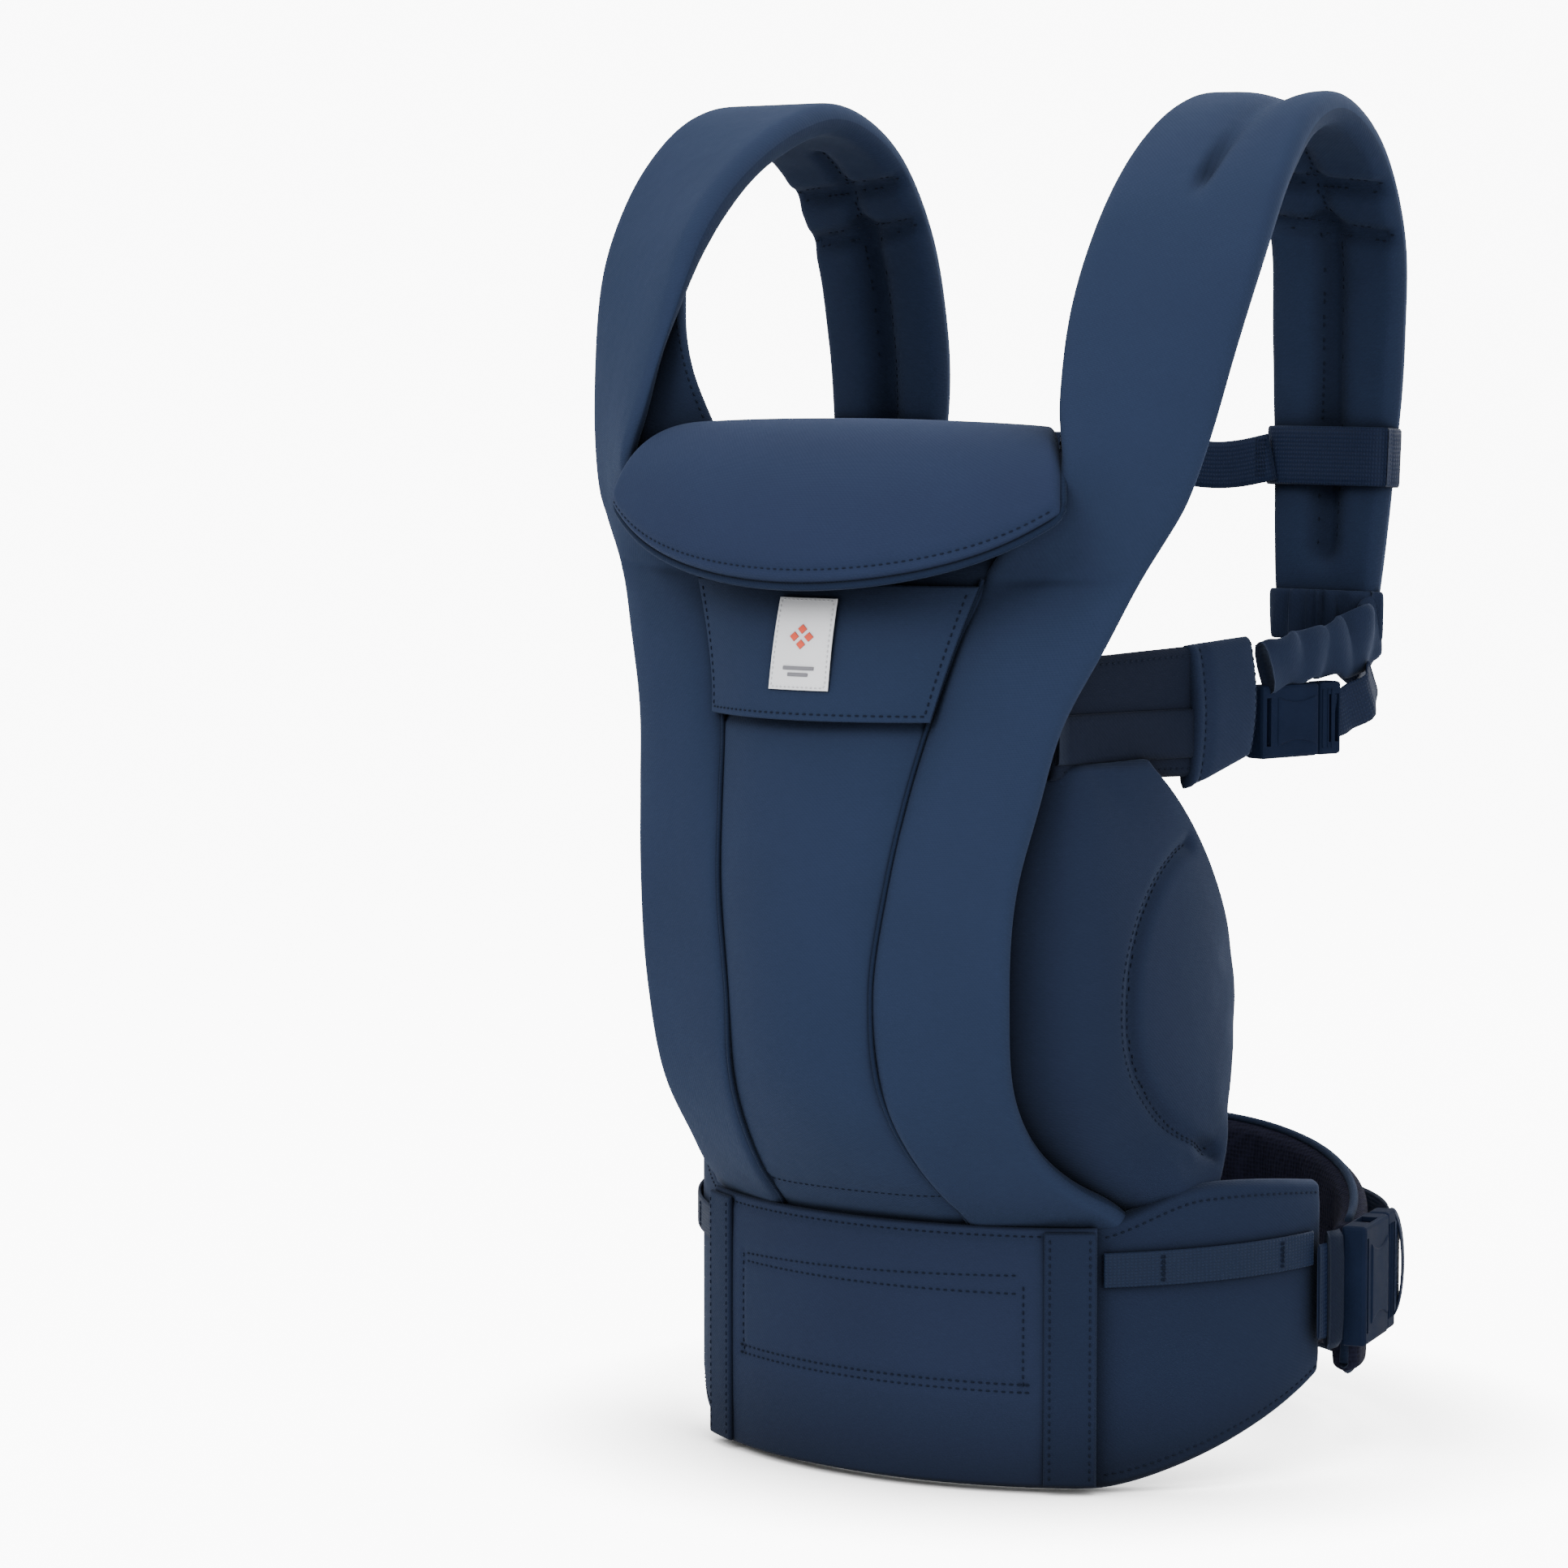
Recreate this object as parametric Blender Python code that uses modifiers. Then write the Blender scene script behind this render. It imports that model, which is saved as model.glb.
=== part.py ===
"""A soft baby carrier: padded waist belt, curved body panel, leg pads, shoulder straps,
fold-over head support, chest strap and four side-release buckles.

Frame: metres, +Z up. The front panel faces -Y and +X is the wearer's left. The pieces are laid out
about the middle of the belt loop; the last step moves them so that the origin is on the ground,
under the middle of the belt's front edge.
Every left piece is modelled at +X and copied to -X, except the waist buckle, which has one side.
"""

import math

import bmesh
import bpy
import numpy as np
from mathutils import Matrix, Vector

# ---- driving dimensions -------------------------------------------------------------------
BELT_HALF_WIDTH = 0.186      # outer radius of the closed belt loop
BELT_FRONT_DEPTH = 0.162     # from the round back's centre to the front of the belt
BELT_CENTRE_Y = -0.010
BELT_HEIGHT = 0.139
BELT_THICKNESS = 0.018
BELT_PAD_HALF_LENGTH = 0.260
COVER_HALF_LENGTH = 0.125
WING_END_BOTTOM = 0.052
WING_END_TOP = 0.152
WAIST_WEB = 0.050            # webbing widths
STRAP_WEB = 0.025
WEB_THICKNESS = 0.0018
WAIST_WEB_PROUD = 0.0055     # how far the waist webbing stands outside the belt's outer face
STRAP_THICKNESS = 0.018
PANEL_THICKNESS = 0.006
BAND_THICKNESS = 0.014
PAD_THICKNESS = 0.014
SEAM_GAP = 0.0012            # between pieces that are sewn edge to edge
LAY_GAP = 0.0010             # between layers that lie on each other

# The body panel's outline: height, front y, the seam's x and y, the outer edge's x and y.
PANEL_STATIONS = (
    (0.147, -0.172, 0.056, -0.166, 0.100, -0.154),
    (0.175, -0.208, 0.050, -0.200, 0.101, -0.178),
    (0.205, -0.231, 0.046, -0.220, 0.104, -0.197),
    (0.258, -0.245, 0.044, -0.229, 0.108, -0.208),
    (0.314, -0.244, 0.051, -0.226, 0.112, -0.208),
    (0.355, -0.237, 0.056, -0.217, 0.119, -0.199),
    (0.397, -0.228, 0.063, -0.205, 0.127, -0.189),
    (0.435, -0.221, 0.074, -0.198, 0.143, -0.176),
    (0.468, -0.212, 0.086, -0.192, 0.157, -0.166),
)
PANEL_TOP_HEIGHT = 0.524
PANEL_TOP_FRONT_Y = -0.170

# The shoulder strap's centre line: x, y, z, its width direction's turn about Z and its width.
STRAP_PATH = (
    (0.150, -0.176, 0.484, 42, 0.050),
    (0.155, -0.176, 0.512, 41, 0.062),
    (0.157, -0.169, 0.545, 36, 0.072),
    (0.158, -0.154, 0.590, 30, 0.080),
    (0.160, -0.130, 0.636, 26, 0.082),
    (0.158, -0.094, 0.676, 16, 0.080),
    (0.155, -0.060, 0.697, 7, 0.078),
    (0.153, -0.030, 0.704, 0, 0.076),
    (0.150, 0.020, 0.686, 0, 0.074),
    (0.147, 0.053, 0.640, 0, 0.073),
    (0.143, 0.062, 0.588, 0, 0.073),
    (0.142, 0.053, 0.431, 0, 0.054),
)
CREST = 7                    # the path point at the top of the shoulder, where the strap bends
HARNESS_PIVOT = Vector((0, -0.030, 0.716))
HEAD_HINGE = Vector((0, -0.152, 0.532))
BELT_CENTRE = Vector((0, BELT_CENTRE_Y, 0))

MATERIALS = {
    "fabric": ((0.035, 0.055, 0.105, 1), 0.85, 0),
    "lining": ((0.020, 0.030, 0.058, 1), 0.90, 0),
    "webbing": ((0.018, 0.028, 0.056, 1), 0.70, 0),
    "plastic": ((0.014, 0.020, 0.036, 1), 0.40, 0),
    "label": ((0.82, 0.83, 0.86, 1), 0.60, 0),
}


# ---- helpers --------------------------------------------------------------------------------
def clear_scene():
    for old in list(bpy.data.objects):
        bpy.data.objects.remove(old)


def new_collection(name):
    made = bpy.data.collections.new(name)
    bpy.context.scene.collection.children.link(made)
    return made


def make_materials():
    for name, (colour, roughness, metallic) in MATERIALS.items():
        material = bpy.data.materials.new(name)
        material.use_nodes = True
        surface = material.node_tree.nodes["Principled BSDF"]
        surface.inputs["Base Color"].default_value = colour
        surface.inputs["Roughness"].default_value = roughness
        surface.inputs["Metallic"].default_value = metallic


def add_object(name, mesh, material, collection=None):
    made = bpy.data.objects.new(name, mesh)
    (collection or parts).objects.link(made)
    if material:
        mesh.materials.append(bpy.data.materials[material])
    return made


def interpolate(rows, at, column=0):
    """Smooth values between rows, which are sorted by one column."""
    table = np.array(rows, float)
    keys = table[:, column]
    slopes = np.gradient(table, keys, axis=0)
    i = int(np.clip(np.searchsorted(keys, at) - 1, 0, len(keys) - 2))
    step = keys[i + 1] - keys[i]
    t = np.clip((at - keys[i]) / step, 0, 1)
    start, end = 2 * t**3 - 3 * t**2 + 1, 3 * t**2 - 2 * t**3
    lead, trail = (t**3 - 2 * t**2 + t) * step, (t**3 - t**2) * step
    return start * table[i] + end * table[i + 1] + lead * slopes[i] + trail * slopes[i + 1]


def sheet(name, surface, columns, rows, thickness, material, outward=True):
    """A sewn layer: the points surface(u, v) as an open grid, given its thickness by Solidify."""
    mesh = bpy.data.meshes.new(name)
    points = [surface(i / columns, j / rows) for j in range(rows + 1) for i in range(columns + 1)]
    faces = []
    for j in range(rows):
        for i in range(columns):
            a = j * (columns + 1) + i
            b = a + columns + 1
            faces.append((a, a + 1, b + 1, b) if outward else (a, b, b + 1, a + 1))
    mesh.from_pydata(points, [], faces)
    made = add_object(name, mesh, material)
    solidify = made.modifiers.new("thickness", "SOLIDIFY")
    solidify.thickness = thickness
    solidify.offset = 0
    mesh.shade_smooth()
    return made


def box(name, size, place, material, bevel=0.0, collection=None, ahead=0.0):
    """A block whose place is a matrix that carries its local axes into the carrier's frame. Its
    middle is ahead of its origin along local X."""
    mesh = bpy.data.meshes.new(name)
    shape = bmesh.new()
    middle = Matrix.Translation((ahead, 0, 0))
    bmesh.ops.create_cube(shape, size=1, matrix=middle @ Matrix.Diagonal((*size, 1)))
    shape.to_mesh(mesh)
    shape.free()
    made = add_object(name, mesh, material, collection)
    made.matrix_world = place
    if bevel:
        rounding = made.modifiers.new("rounding", "BEVEL")
        rounding.width = bevel
        rounding.segments = 2
    return made


def cut(target, size, place, operation="DIFFERENCE"):
    tool = box(f"{target.name}_tool_{len(target.modifiers)}", size, place, None, collection=tools)
    tool.hide_render = True
    tool.display_type = "WIRE"
    boolean = target.modifiers.new(operation.lower(), "BOOLEAN")
    boolean.operation = operation
    boolean.object = tool


def tube(name, points, radius, material):
    curve = bpy.data.curves.new(name, "CURVE")
    curve.dimensions = "3D"
    curve.bevel_depth = radius
    curve.bevel_resolution = 1
    curve.use_fill_caps = True
    spline = curve.splines.new("POLY")
    spline.points.add(len(points) - 1)
    for point, place in zip(spline.points, points):
        point.co = (*place, 1)
    made = bpy.data.objects.new(name, curve)
    parts.objects.link(made)
    curve.materials.append(bpy.data.materials[material])
    return made


def other_side(piece, name):
    """The wearer's right-hand copy of a left-hand piece."""
    made = piece.copy()
    made.name = name
    made.matrix_world = Matrix.Diagonal((-1, 1, 1, 1)) @ piece.matrix_world
    parts.objects.link(made)
    for modifier in made.modifiers:
        if modifier.type == "BOOLEAN":
            tool = modifier.object.copy()
            tool.matrix_world = Matrix.Diagonal((-1, 1, 1, 1)) @ modifier.object.matrix_world
            tools.objects.link(tool)
            modifier.object = tool
    return made


def both_sides(piece):
    """Adds the right-hand copy of NAME_left as NAME_right and returns the pair."""
    return piece, other_side(piece, piece.name.replace("_left", "_right"))


def pivot(name, place):
    made = bpy.data.objects.new(name, None)
    made.location = place
    parts.objects.link(made)
    bpy.context.view_layer.update()
    return made


def hang(empty, *pieces):
    """Parents pieces to the empty on their joint's axis, where they stand."""
    for piece in pieces:
        piece.parent = empty
        piece.matrix_parent_inverse = empty.matrix_world.inverted()


# ---- the belt loop --------------------------------------------------------------------------
def outline_point(angle, inset=0.0):
    """The loop at an angle from straight ahead, positive towards +X: an oval front, a round back."""
    side, ahead = math.sin(angle), math.cos(angle)
    half_width = BELT_HALF_WIDTH - inset
    depth = half_width if ahead <= 0 else BELT_FRONT_DEPTH - inset
    return Vector((half_width * side, BELT_CENTRE_Y - depth * ahead, 0))


def angle_at(length):
    """The angle whose distance along the front outline from straight ahead is this length."""
    angles = np.linspace(0, math.pi / 2 + 0.4, 400)
    points = np.array([outline_point(a) for a in angles])
    travelled = np.concatenate([[0], np.cumsum(np.linalg.norm(np.diff(points, axis=0), axis=1))])
    return math.copysign(np.interp(abs(length), travelled, angles), length)


def belt_band(start, end, bottom, top, inset):
    """The surface of a band on the loop between two lengths; bottom and top are functions of length."""

    def surface(u, v):
        length = start + (end - start) * u
        point = outline_point(angle_at(length), inset)
        point.z = bottom(length) + (top(length) - bottom(length)) * v
        return point

    return surface


def wing_share(length):
    """0 on the belt's front, rising to 1 at a wing's end."""
    return max(0.0, (abs(length) - COVER_HALF_LENGTH) / (BELT_PAD_HALF_LENGTH - COVER_HALF_LENGTH))


def belt_bottom(length):
    return WING_END_BOTTOM * wing_share(length) ** 1.4


def belt_top(length):
    return BELT_HEIGHT + (WING_END_TOP - BELT_HEIGHT) * wing_share(length)


def arc_band(start_deg, end_deg, radius, bottom, top):
    """A band on the round back of the loop; angles are from +X, about the loop's centre."""

    def surface(u, v):
        angle = math.radians(start_deg + (end_deg - start_deg) * u)
        around = Vector((math.cos(angle), math.sin(angle), 0)) * radius
        return BELT_CENTRE + around + Vector((0, 0, bottom + (top - bottom) * v))

    return surface


def build_belt():
    half = BELT_PAD_HALF_LENGTH
    middle = BELT_THICKNESS / 2
    sheet("belt_pad", belt_band(-half, half, belt_bottom, belt_top, middle), 36, 3,
          BELT_THICKNESS, "fabric")
    proud = -LAY_GAP - 0.0010
    sheet("belt_cover", belt_band(-COVER_HALF_LENGTH, COVER_HALF_LENGTH, lambda s: 0.004,
                                  lambda s: BELT_HEIGHT - 0.004, proud), 16, 2, 0.002, "fabric")
    strip = belt_band(COVER_HALF_LENGTH - 0.026, COVER_HALF_LENGTH - 0.002, lambda s: 0.006,
                      lambda s: BELT_HEIGHT - 0.006, proud - 0.003)
    both_sides(sheet("cover_strip_left", strip, 3, 2, 0.0015, "fabric"))
    loop = belt_band(COVER_HALF_LENGTH + 0.004, half - 0.012, lambda s: 0.106 + 0.004 * wing_share(s),
                     lambda s: 0.124 + 0.004 * wing_share(s), proud)
    both_sides(sheet("accessory_loop_left", loop, 10, 1, 0.0015, "webbing"))


# ---- the body panel ---------------------------------------------------------------------------
def panel_point(height, x, proud=0.0):
    """A point on the body panel's front at this height and x, moved outwards by proud."""
    _, front, seam, seam_y, edge, edge_y = interpolate(PANEL_STATIONS, height)
    if abs(x) <= seam:
        share = abs(x) / seam
        y = front + (seam_y - front) * share**2
        slope = 2 * (seam_y - front) * share / seam
    else:
        share = (abs(x) - seam) / (edge - seam)
        y = seam_y + (edge_y - seam_y) * share
        slope = (edge_y - seam_y) / (edge - seam)
    normal = Vector((math.copysign(slope, x), -1, 0)).normalized()
    return Vector((x, y, height)) + normal * proud


def build_panel():
    low, high = PANEL_STATIONS[0][0], PANEL_STATIONS[-1][0]

    def centre(u, v):
        height = low + (PANEL_TOP_HEIGHT - low) * v
        half = interpolate(PANEL_STATIONS, min(height, high))[2] - SEAM_GAP / 2
        point = panel_point(min(height, high), half * (2 * u - 1))
        rise = max(0.0, height - high) / (PANEL_TOP_HEIGHT - high)
        point.y += (PANEL_TOP_FRONT_Y - PANEL_STATIONS[-1][1]) * rise**1.3 * (1 - 0.5 * abs(2 * u - 1))
        point.z = height
        return point

    def band(u, v):
        height = low + (high - 0.004 - low) * v
        _, _, seam, _, edge, _ = interpolate(PANEL_STATIONS, height)
        inner = seam + SEAM_GAP / 2
        return panel_point(height, inner + (edge - inner) * u, 0.001)

    sheet("main_panel", centre, 10, 18, PANEL_THICKNESS, "fabric")
    both_sides(sheet("side_band_left", band, 4, 16, BAND_THICKNESS, "fabric"))

    def patch(u, v):
        height = 0.398 + 0.066 * v
        half = interpolate(PANEL_STATIONS, height)[2] - 0.006
        return panel_point(height, half * (2 * u - 1), PANEL_THICKNESS / 2 + LAY_GAP + 0.001)

    def label(u, v):
        height = 0.411 + 0.048 * v
        return panel_point(height, 0.0145 * (2 * u - 1), PANEL_THICKNESS / 2 + LAY_GAP + 0.0033)

    sheet("upper_patch", patch, 8, 3, 0.0015, "fabric")
    sheet("woven_label", label, 3, 2, 0.0008, "label")
    roll = [Vector((x, -0.150, 0.520)) for x in np.linspace(-0.084, 0.084, 13)]
    tube("neck_roll", roll, 0.0055, "fabric")


# ---- leg pads and side wings --------------------------------------------------------------------
LEG_LOW, LEG_HIGH = 0.154, 0.352
LEG_WIDEST = 0.247           # height at which the leg pad reaches furthest back


def leg_rear_y(height):
    """The leg pad's rear edge: a bow that leans forward more above its widest height."""
    bend = 5.4 if height > LEG_WIDEST else 2.5
    return -0.051 - bend * (height - LEG_WIDEST) ** 2


def leg_point(height, share):
    """The leg pad's middle surface, from under the side band (0) to the leg opening (1)."""
    _, _, _, _, edge, edge_y = interpolate(PANEL_STATIONS, height)
    front = Vector((edge - 0.004, edge_y + 0.024, height))
    rear = Vector((0.139, leg_rear_y(height), height))
    belly = 0.022 * math.sin(math.pi * share**0.7)
    swell = math.sin(math.pi * np.clip((height - LEG_LOW + 0.03) / 0.25, 0, 1))
    return front.lerp(rear, share) + Vector((belly * swell, 0, 0))


def leg_seam_share(height):
    """Where the curved seam crosses the pad: a lens at the leg opening, closed at both ends."""
    return 0.96 - 0.69 * math.sqrt(max(0.0, 1 - ((height - 0.250) / 0.083) ** 2))


def build_leg_pads():
    lens_low, lens_high = 0.182, 0.321

    def main(u, v):
        height = LEG_LOW + (LEG_HIGH - LEG_LOW) * v
        return leg_point(height, leg_seam_share(height) * u)

    def insert(u, v):
        height = lens_low + (lens_high - lens_low) * v
        start = leg_seam_share(height) + 0.020
        return leg_point(height, start + (1 - start) * u)

    both_sides(sheet("leg_pad_left", main, 8, 14, PAD_THICKNESS, "fabric"))
    both_sides(sheet("leg_insert_left", insert, 4, 12, PAD_THICKNESS - 0.002, "fabric"))


WING_START, WING_END = Vector((0.124, -0.160, 0)), Vector((0.152, -0.045, 0))


def wing_point(share, height):
    """The torso wing that runs back from the side band, above the leg pad."""
    return WING_START.lerp(WING_END, share) + Vector((0, 0, height))


def build_side_wings():
    both_sides(sheet("side_wing_left", lambda u, v: wing_point(0.58 * u, 0.370 + 0.060 * v), 3, 2,
                     0.008, "fabric"))

    def sleeve(u, v):
        return wing_point(0.62 + 0.38 * u, 0.364 + 0.070 * v)

    both_sides(sheet("wing_sleeve_left", sleeve, 2, 2, 0.012, "fabric"))


# ---- shoulder straps ------------------------------------------------------------------------------
STRAP_TABLE = [(i, *row) for i, row in enumerate(STRAP_PATH)]


def strap_frame(at):
    """The strap's centre, width direction, tangent and width at a path position, in points."""
    _, x, y, z, turn, width = interpolate(STRAP_TABLE, at)
    ahead, behind = (interpolate(STRAP_TABLE, at + d) for d in (0.05, -0.05))
    tangent = Vector(ahead[1:4] - behind[1:4]).normalized()
    across = Vector((math.cos(math.radians(turn)), math.sin(math.radians(turn)), 0))
    across = (across - tangent * across.dot(tangent)).normalized()
    return Vector((x, y, z)), across, tangent, width


def strap_surface(start, end):
    def surface(u, v):
        centre, across, _, width = strap_frame(start + (end - start) * v)
        return centre + across * width * (u - 0.5)

    return surface


def run_position(height):
    """The path position where the strap's rear run is at this height."""
    positions = np.linspace(len(STRAP_PATH) - 2, len(STRAP_PATH) - 1, 200)
    return min(positions, key=lambda at: abs(interpolate(STRAP_TABLE, at)[3] - height))


def build_straps():
    last = len(STRAP_PATH) - 1
    front = sheet("strap_front_left", strap_surface(0, CREST - 0.04), 4, 22, STRAP_THICKNESS,
                  "fabric")
    rear = sheet("strap_rear_left", strap_surface(CREST + 0.04, last), 4, 18, STRAP_THICKNESS,
                 "fabric")
    both_sides(front)

    def gusset(u, v):
        centre, across, tangent, width = strap_frame(1.7 + 1.5 * v)
        behind = across.cross(tangent).normalized() * -(STRAP_THICKNESS / 2 + 0.004)
        behind = behind if behind.y > 0 else -behind
        inner = centre - across * (width / 2 - 0.003) + behind
        return inner + Vector((-0.010, 0.020, 0)) * (1 - v) * u + Vector((0, 0.002, 0)) * u

    both_sides(sheet("strap_gusset_left", gusset, 2, 6, 0.003, "fabric"))

    end = Vector(STRAP_PATH[-1][:3])

    def webbing(u, v):
        """The adjuster webbing's loop below the strap: down behind it and round to the front."""
        angle = math.pi * v
        drop = Vector((0, 0.004 - 0.009 * (1 - math.cos(angle)), -0.012 - 0.024 * math.sin(angle)))
        return end + drop + Vector((STRAP_WEB * (u - 0.5), 0, 0))

    web = sheet("strap_webbing_left", webbing, 2, 10, WEB_THICKNESS, "webbing")
    keeper = ring("strap_keeper_left", last - 0.06, 0.005, 0.024)
    return [*both_sides(rear), *both_sides(web), *both_sides(keeper)]


def ring(name, at, clearance, height):
    """A flat band sewn into a loop around the strap at a path position."""
    centre, across, tangent, width = strap_frame(at)
    axes = Matrix((across, tangent.cross(across), tangent)).transposed().to_4x4()
    place = Matrix.Translation(centre) @ axes
    inside = (width + clearance, STRAP_THICKNESS + clearance)
    wall = 2 * WEB_THICKNESS
    made = box(name, (inside[0] + wall, inside[1] + wall, height), place, "webbing")
    cut(made, (*inside, height * 2), place)
    return made


# ---- side-release buckles -----------------------------------------------------------------------
PRONG_ROOT = 0.0008          # where a prong bends, ahead of the socket's mouth


def buckle(name, place, web):
    """A socket, its plug and the plug's two prongs, each with its origin at its root. In the
    buckle's own frame the mouth is at the origin, the plug pulls out along +X, Y is the width and
    Z the thickness."""
    width, thickness, wall = web + 0.013, 0.0135, 0.0024
    depth = 0.034 + 0.2 * (web - STRAP_WEB)
    inner_height = thickness - 2 * wall

    def at(x, y=0.0, z=0.0):
        return place @ Matrix.Translation((x, y, z))

    socket = box(f"{name}_socket", (depth + 0.008, width, thickness), at(-depth / 2 - 0.004),
                 "plastic", 0.002)
    cut(socket, (depth, width - 2 * wall, inner_height), at(-depth / 2 + 0.002))
    cut(socket, (depth * 0.42, width * 2, inner_height), at(-depth * 0.58))
    cut(socket, (0.0032, web, thickness * 2), at(-depth - 0.0036))

    base = 0.016
    plug = box(f"{name}_plug", (base, width, thickness * 0.85), at(0.0015 + base / 2), "plastic",
               0.0018)
    cut(plug, (depth * 0.6, 0.008, inner_height * 0.6), at(-depth * 0.3 + 0.003), "UNION")
    for slot in (0.0070, 0.0125):
        cut(plug, (0.0028, web, thickness * 2), at(0.0015 + slot))

    pieces = []
    reach = depth * 0.72
    for side, label in ((1, "upper"), (-1, "lower")):
        root = at(PRONG_ROOT, side * (width / 2 - wall - 0.0042))
        pieces.append(box(f"{name}_prong_{label}", (reach, 0.0052, inner_height * 0.5), root,
                          "plastic", 0.0010, ahead=-reach / 2))
    return socket, plug, *pieces


def frame_matrix(origin, out, width):
    """A buckle's frame from where its mouth is, its pull-out direction and its width direction."""
    out, width = Vector(out).normalized(), Vector(width).normalized()
    axes = Matrix((out, width, out.cross(width))).transposed()
    return Matrix.Translation(origin) @ axes.to_4x4()


SIDE_MOUTH = Vector((0.1632, -0.001, 0.390))
SIDE_PULL = (0.25, 0.97, 0)
WAIST_MOUTH_DEG = 13.4


def build_side_buckles():
    place = frame_matrix(SIDE_MOUTH, SIDE_PULL, (0, 0, 1))
    socket, plug, upper, lower = buckle("side_left", place, STRAP_WEB)
    both_sides(socket)
    groups = {"left": [plug, upper, lower]}
    groups["right"] = [other_side(piece, piece.name.replace("left", "right"))
                       for piece in groups["left"]]
    for side, sign in (("left", 1), ("right", -1)):
        mouth = Vector((sign * SIDE_MOUTH.x, SIDE_MOUTH.y, SIDE_MOUTH.z))
        hang(pivot(f"joint_side_plug_{side}", mouth), *groups[side])


def build_waist_strap():
    """The buckle on the wearer's left wing, the long webbing round the back and the lumbar pad."""
    angle = math.radians(WAIST_MOUTH_DEG)
    radial = Vector((math.cos(angle), math.sin(angle), 0))
    tangent = Vector((-radial.y, radial.x, 0))
    middle = (WING_END_BOTTOM + WING_END_TOP) / 2 - 0.006
    radius = BELT_HALF_WIDTH + WAIST_WEB_PROUD
    mouth = BELT_CENTRE + radial * radius + Vector((0, 0, middle))
    place = frame_matrix(mouth, tangent, (0, 0, 1))
    _, plug, upper, lower = buckle("waist", place, WAIST_WEB)

    low, high = middle - WAIST_WEB / 2, middle + WAIST_WEB / 2
    sheet("waist_webbing_short", arc_band(-6, -1.4, radius, low, high), 2, 1, WEB_THICKNESS,
          "webbing")
    webbing = sheet("waist_webbing_long", arc_band(19.6, 184.5, radius, low, high), 40, 1,
                    WEB_THICKNESS, "webbing")

    def pad_point(u, v):
        point = arc_band(15.5, 164.5, BELT_HALF_WIDTH - 0.0135, 0, 1)(u, v)
        rise = math.sin(math.pi * u)
        bottom, top = 0.040 - 0.010 * rise, 0.118 + 0.031 * rise
        point.z = bottom + (top - bottom) * v
        return point

    pad = sheet("lumbar_pad", pad_point, 26, 3, 0.016, "lining")
    hang(pivot("joint_waist_strap", BELT_CENTRE), plug, upper, lower, webbing)
    swing = pivot("joint_lumbar_pad", BELT_CENTRE)
    hang(swing, pad)
    for side, angle in (("left", 70), ("right", 110)):
        loop = arc_band(angle - 4, angle + 4, radius + 0.0035, low - 0.010, high + 0.010)
        hang(swing, sheet(f"lumbar_loop_{side}", loop, 2, 1, WEB_THICKNESS, "webbing"))


def build_chest_strap():
    height = 0.524
    at = run_position(height)
    run, _, _, width = strap_frame(at)
    y_middle = run.y - STRAP_THICKNESS / 2 - 0.0055
    loops = both_sides(ring("chest_loop_left", at, 0.006, 0.031))
    inner = run.x - width / 2 - 0.010

    def webbing(start, end):
        def surface(u, v):
            return Vector((start + (end - start) * u, y_middle, height + STRAP_WEB * (v - 0.5)))
        return surface

    left = sheet("chest_webbing_left", webbing(0.0455, inner), 3, 1, WEB_THICKNESS, "webbing")
    right = sheet("chest_webbing_right", webbing(-inner, -0.052), 3, 1, WEB_THICKNESS, "webbing")
    place = frame_matrix(Vector((0.002, y_middle, height)), (-1, 0, 0), (0, 0, 1))
    socket, plug, upper, lower = buckle("chest", place, STRAP_WEB)
    slide = pivot("joint_chest_strap", (0, run.y, height))
    hang(slide, *loops, left, right, socket)
    hang(pivot("joint_chest_plug", place.translation), plug, upper, lower)


# ---- head support -------------------------------------------------------------------------------
def head_point(u, v):
    """The fold-over pad, from its fold at the top (v 0) to its free lower edge (v 1)."""
    s = 2 * u - 1
    fold = Vector((0.100 * s, -0.152 - 0.006 * s * s, 0.5365))
    crown = Vector((0.112 * s, -0.228 + 0.024 * s * s, 0.553 - 0.010 * s * s))
    free = Vector((0.132 * s, -0.243 + 0.030 * s * s, 0.471 + 0.024 * s * s))
    return fold * (1 - v) ** 2 + crown * 2 * v * (1 - v) + free * v * v


def build_head_support():
    pad = sheet("head_support_pad", head_point, 14, 7, 0.013, "fabric")
    edge = [head_point(u, 1) + Vector((0, -0.002, -0.0095)) for u in np.linspace(0.02, 0.98, 17)]
    piping = tube("head_support_piping", edge, 0.0022, "fabric")
    hang(pivot("joint_head_support", HEAD_HINGE), pad, piping)


def move_origin():
    """Puts the origin under the middle of the belt's front edge, half way through its padding."""
    shift = Vector((0, BELT_FRONT_DEPTH - BELT_THICKNESS / 2 - BELT_CENTRE_Y, 0))
    for piece in [*parts.objects, *tools.objects]:
        if piece.parent is None:
            piece.location += shift


clear_scene()
parts = new_collection("baby_carrier")
tools = new_collection("cutters")
make_materials()
build_belt()
build_panel()
build_leg_pads()
build_side_wings()
harness = build_straps()
hang(pivot("joint_harness", HARNESS_PIVOT), *harness)
build_side_buckles()
build_waist_strap()
build_chest_strap()
build_head_support()
move_origin()
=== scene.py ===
"""The looks of a soft baby carrier, built round the frame: padded fabric, webbing and buckles."""

import math

import bmesh
import bpy
import numpy as np
from mathutils import Matrix, Vector
from mathutils.bvhtree import BVHTree
from mathutils.kdtree import KDTree


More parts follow.
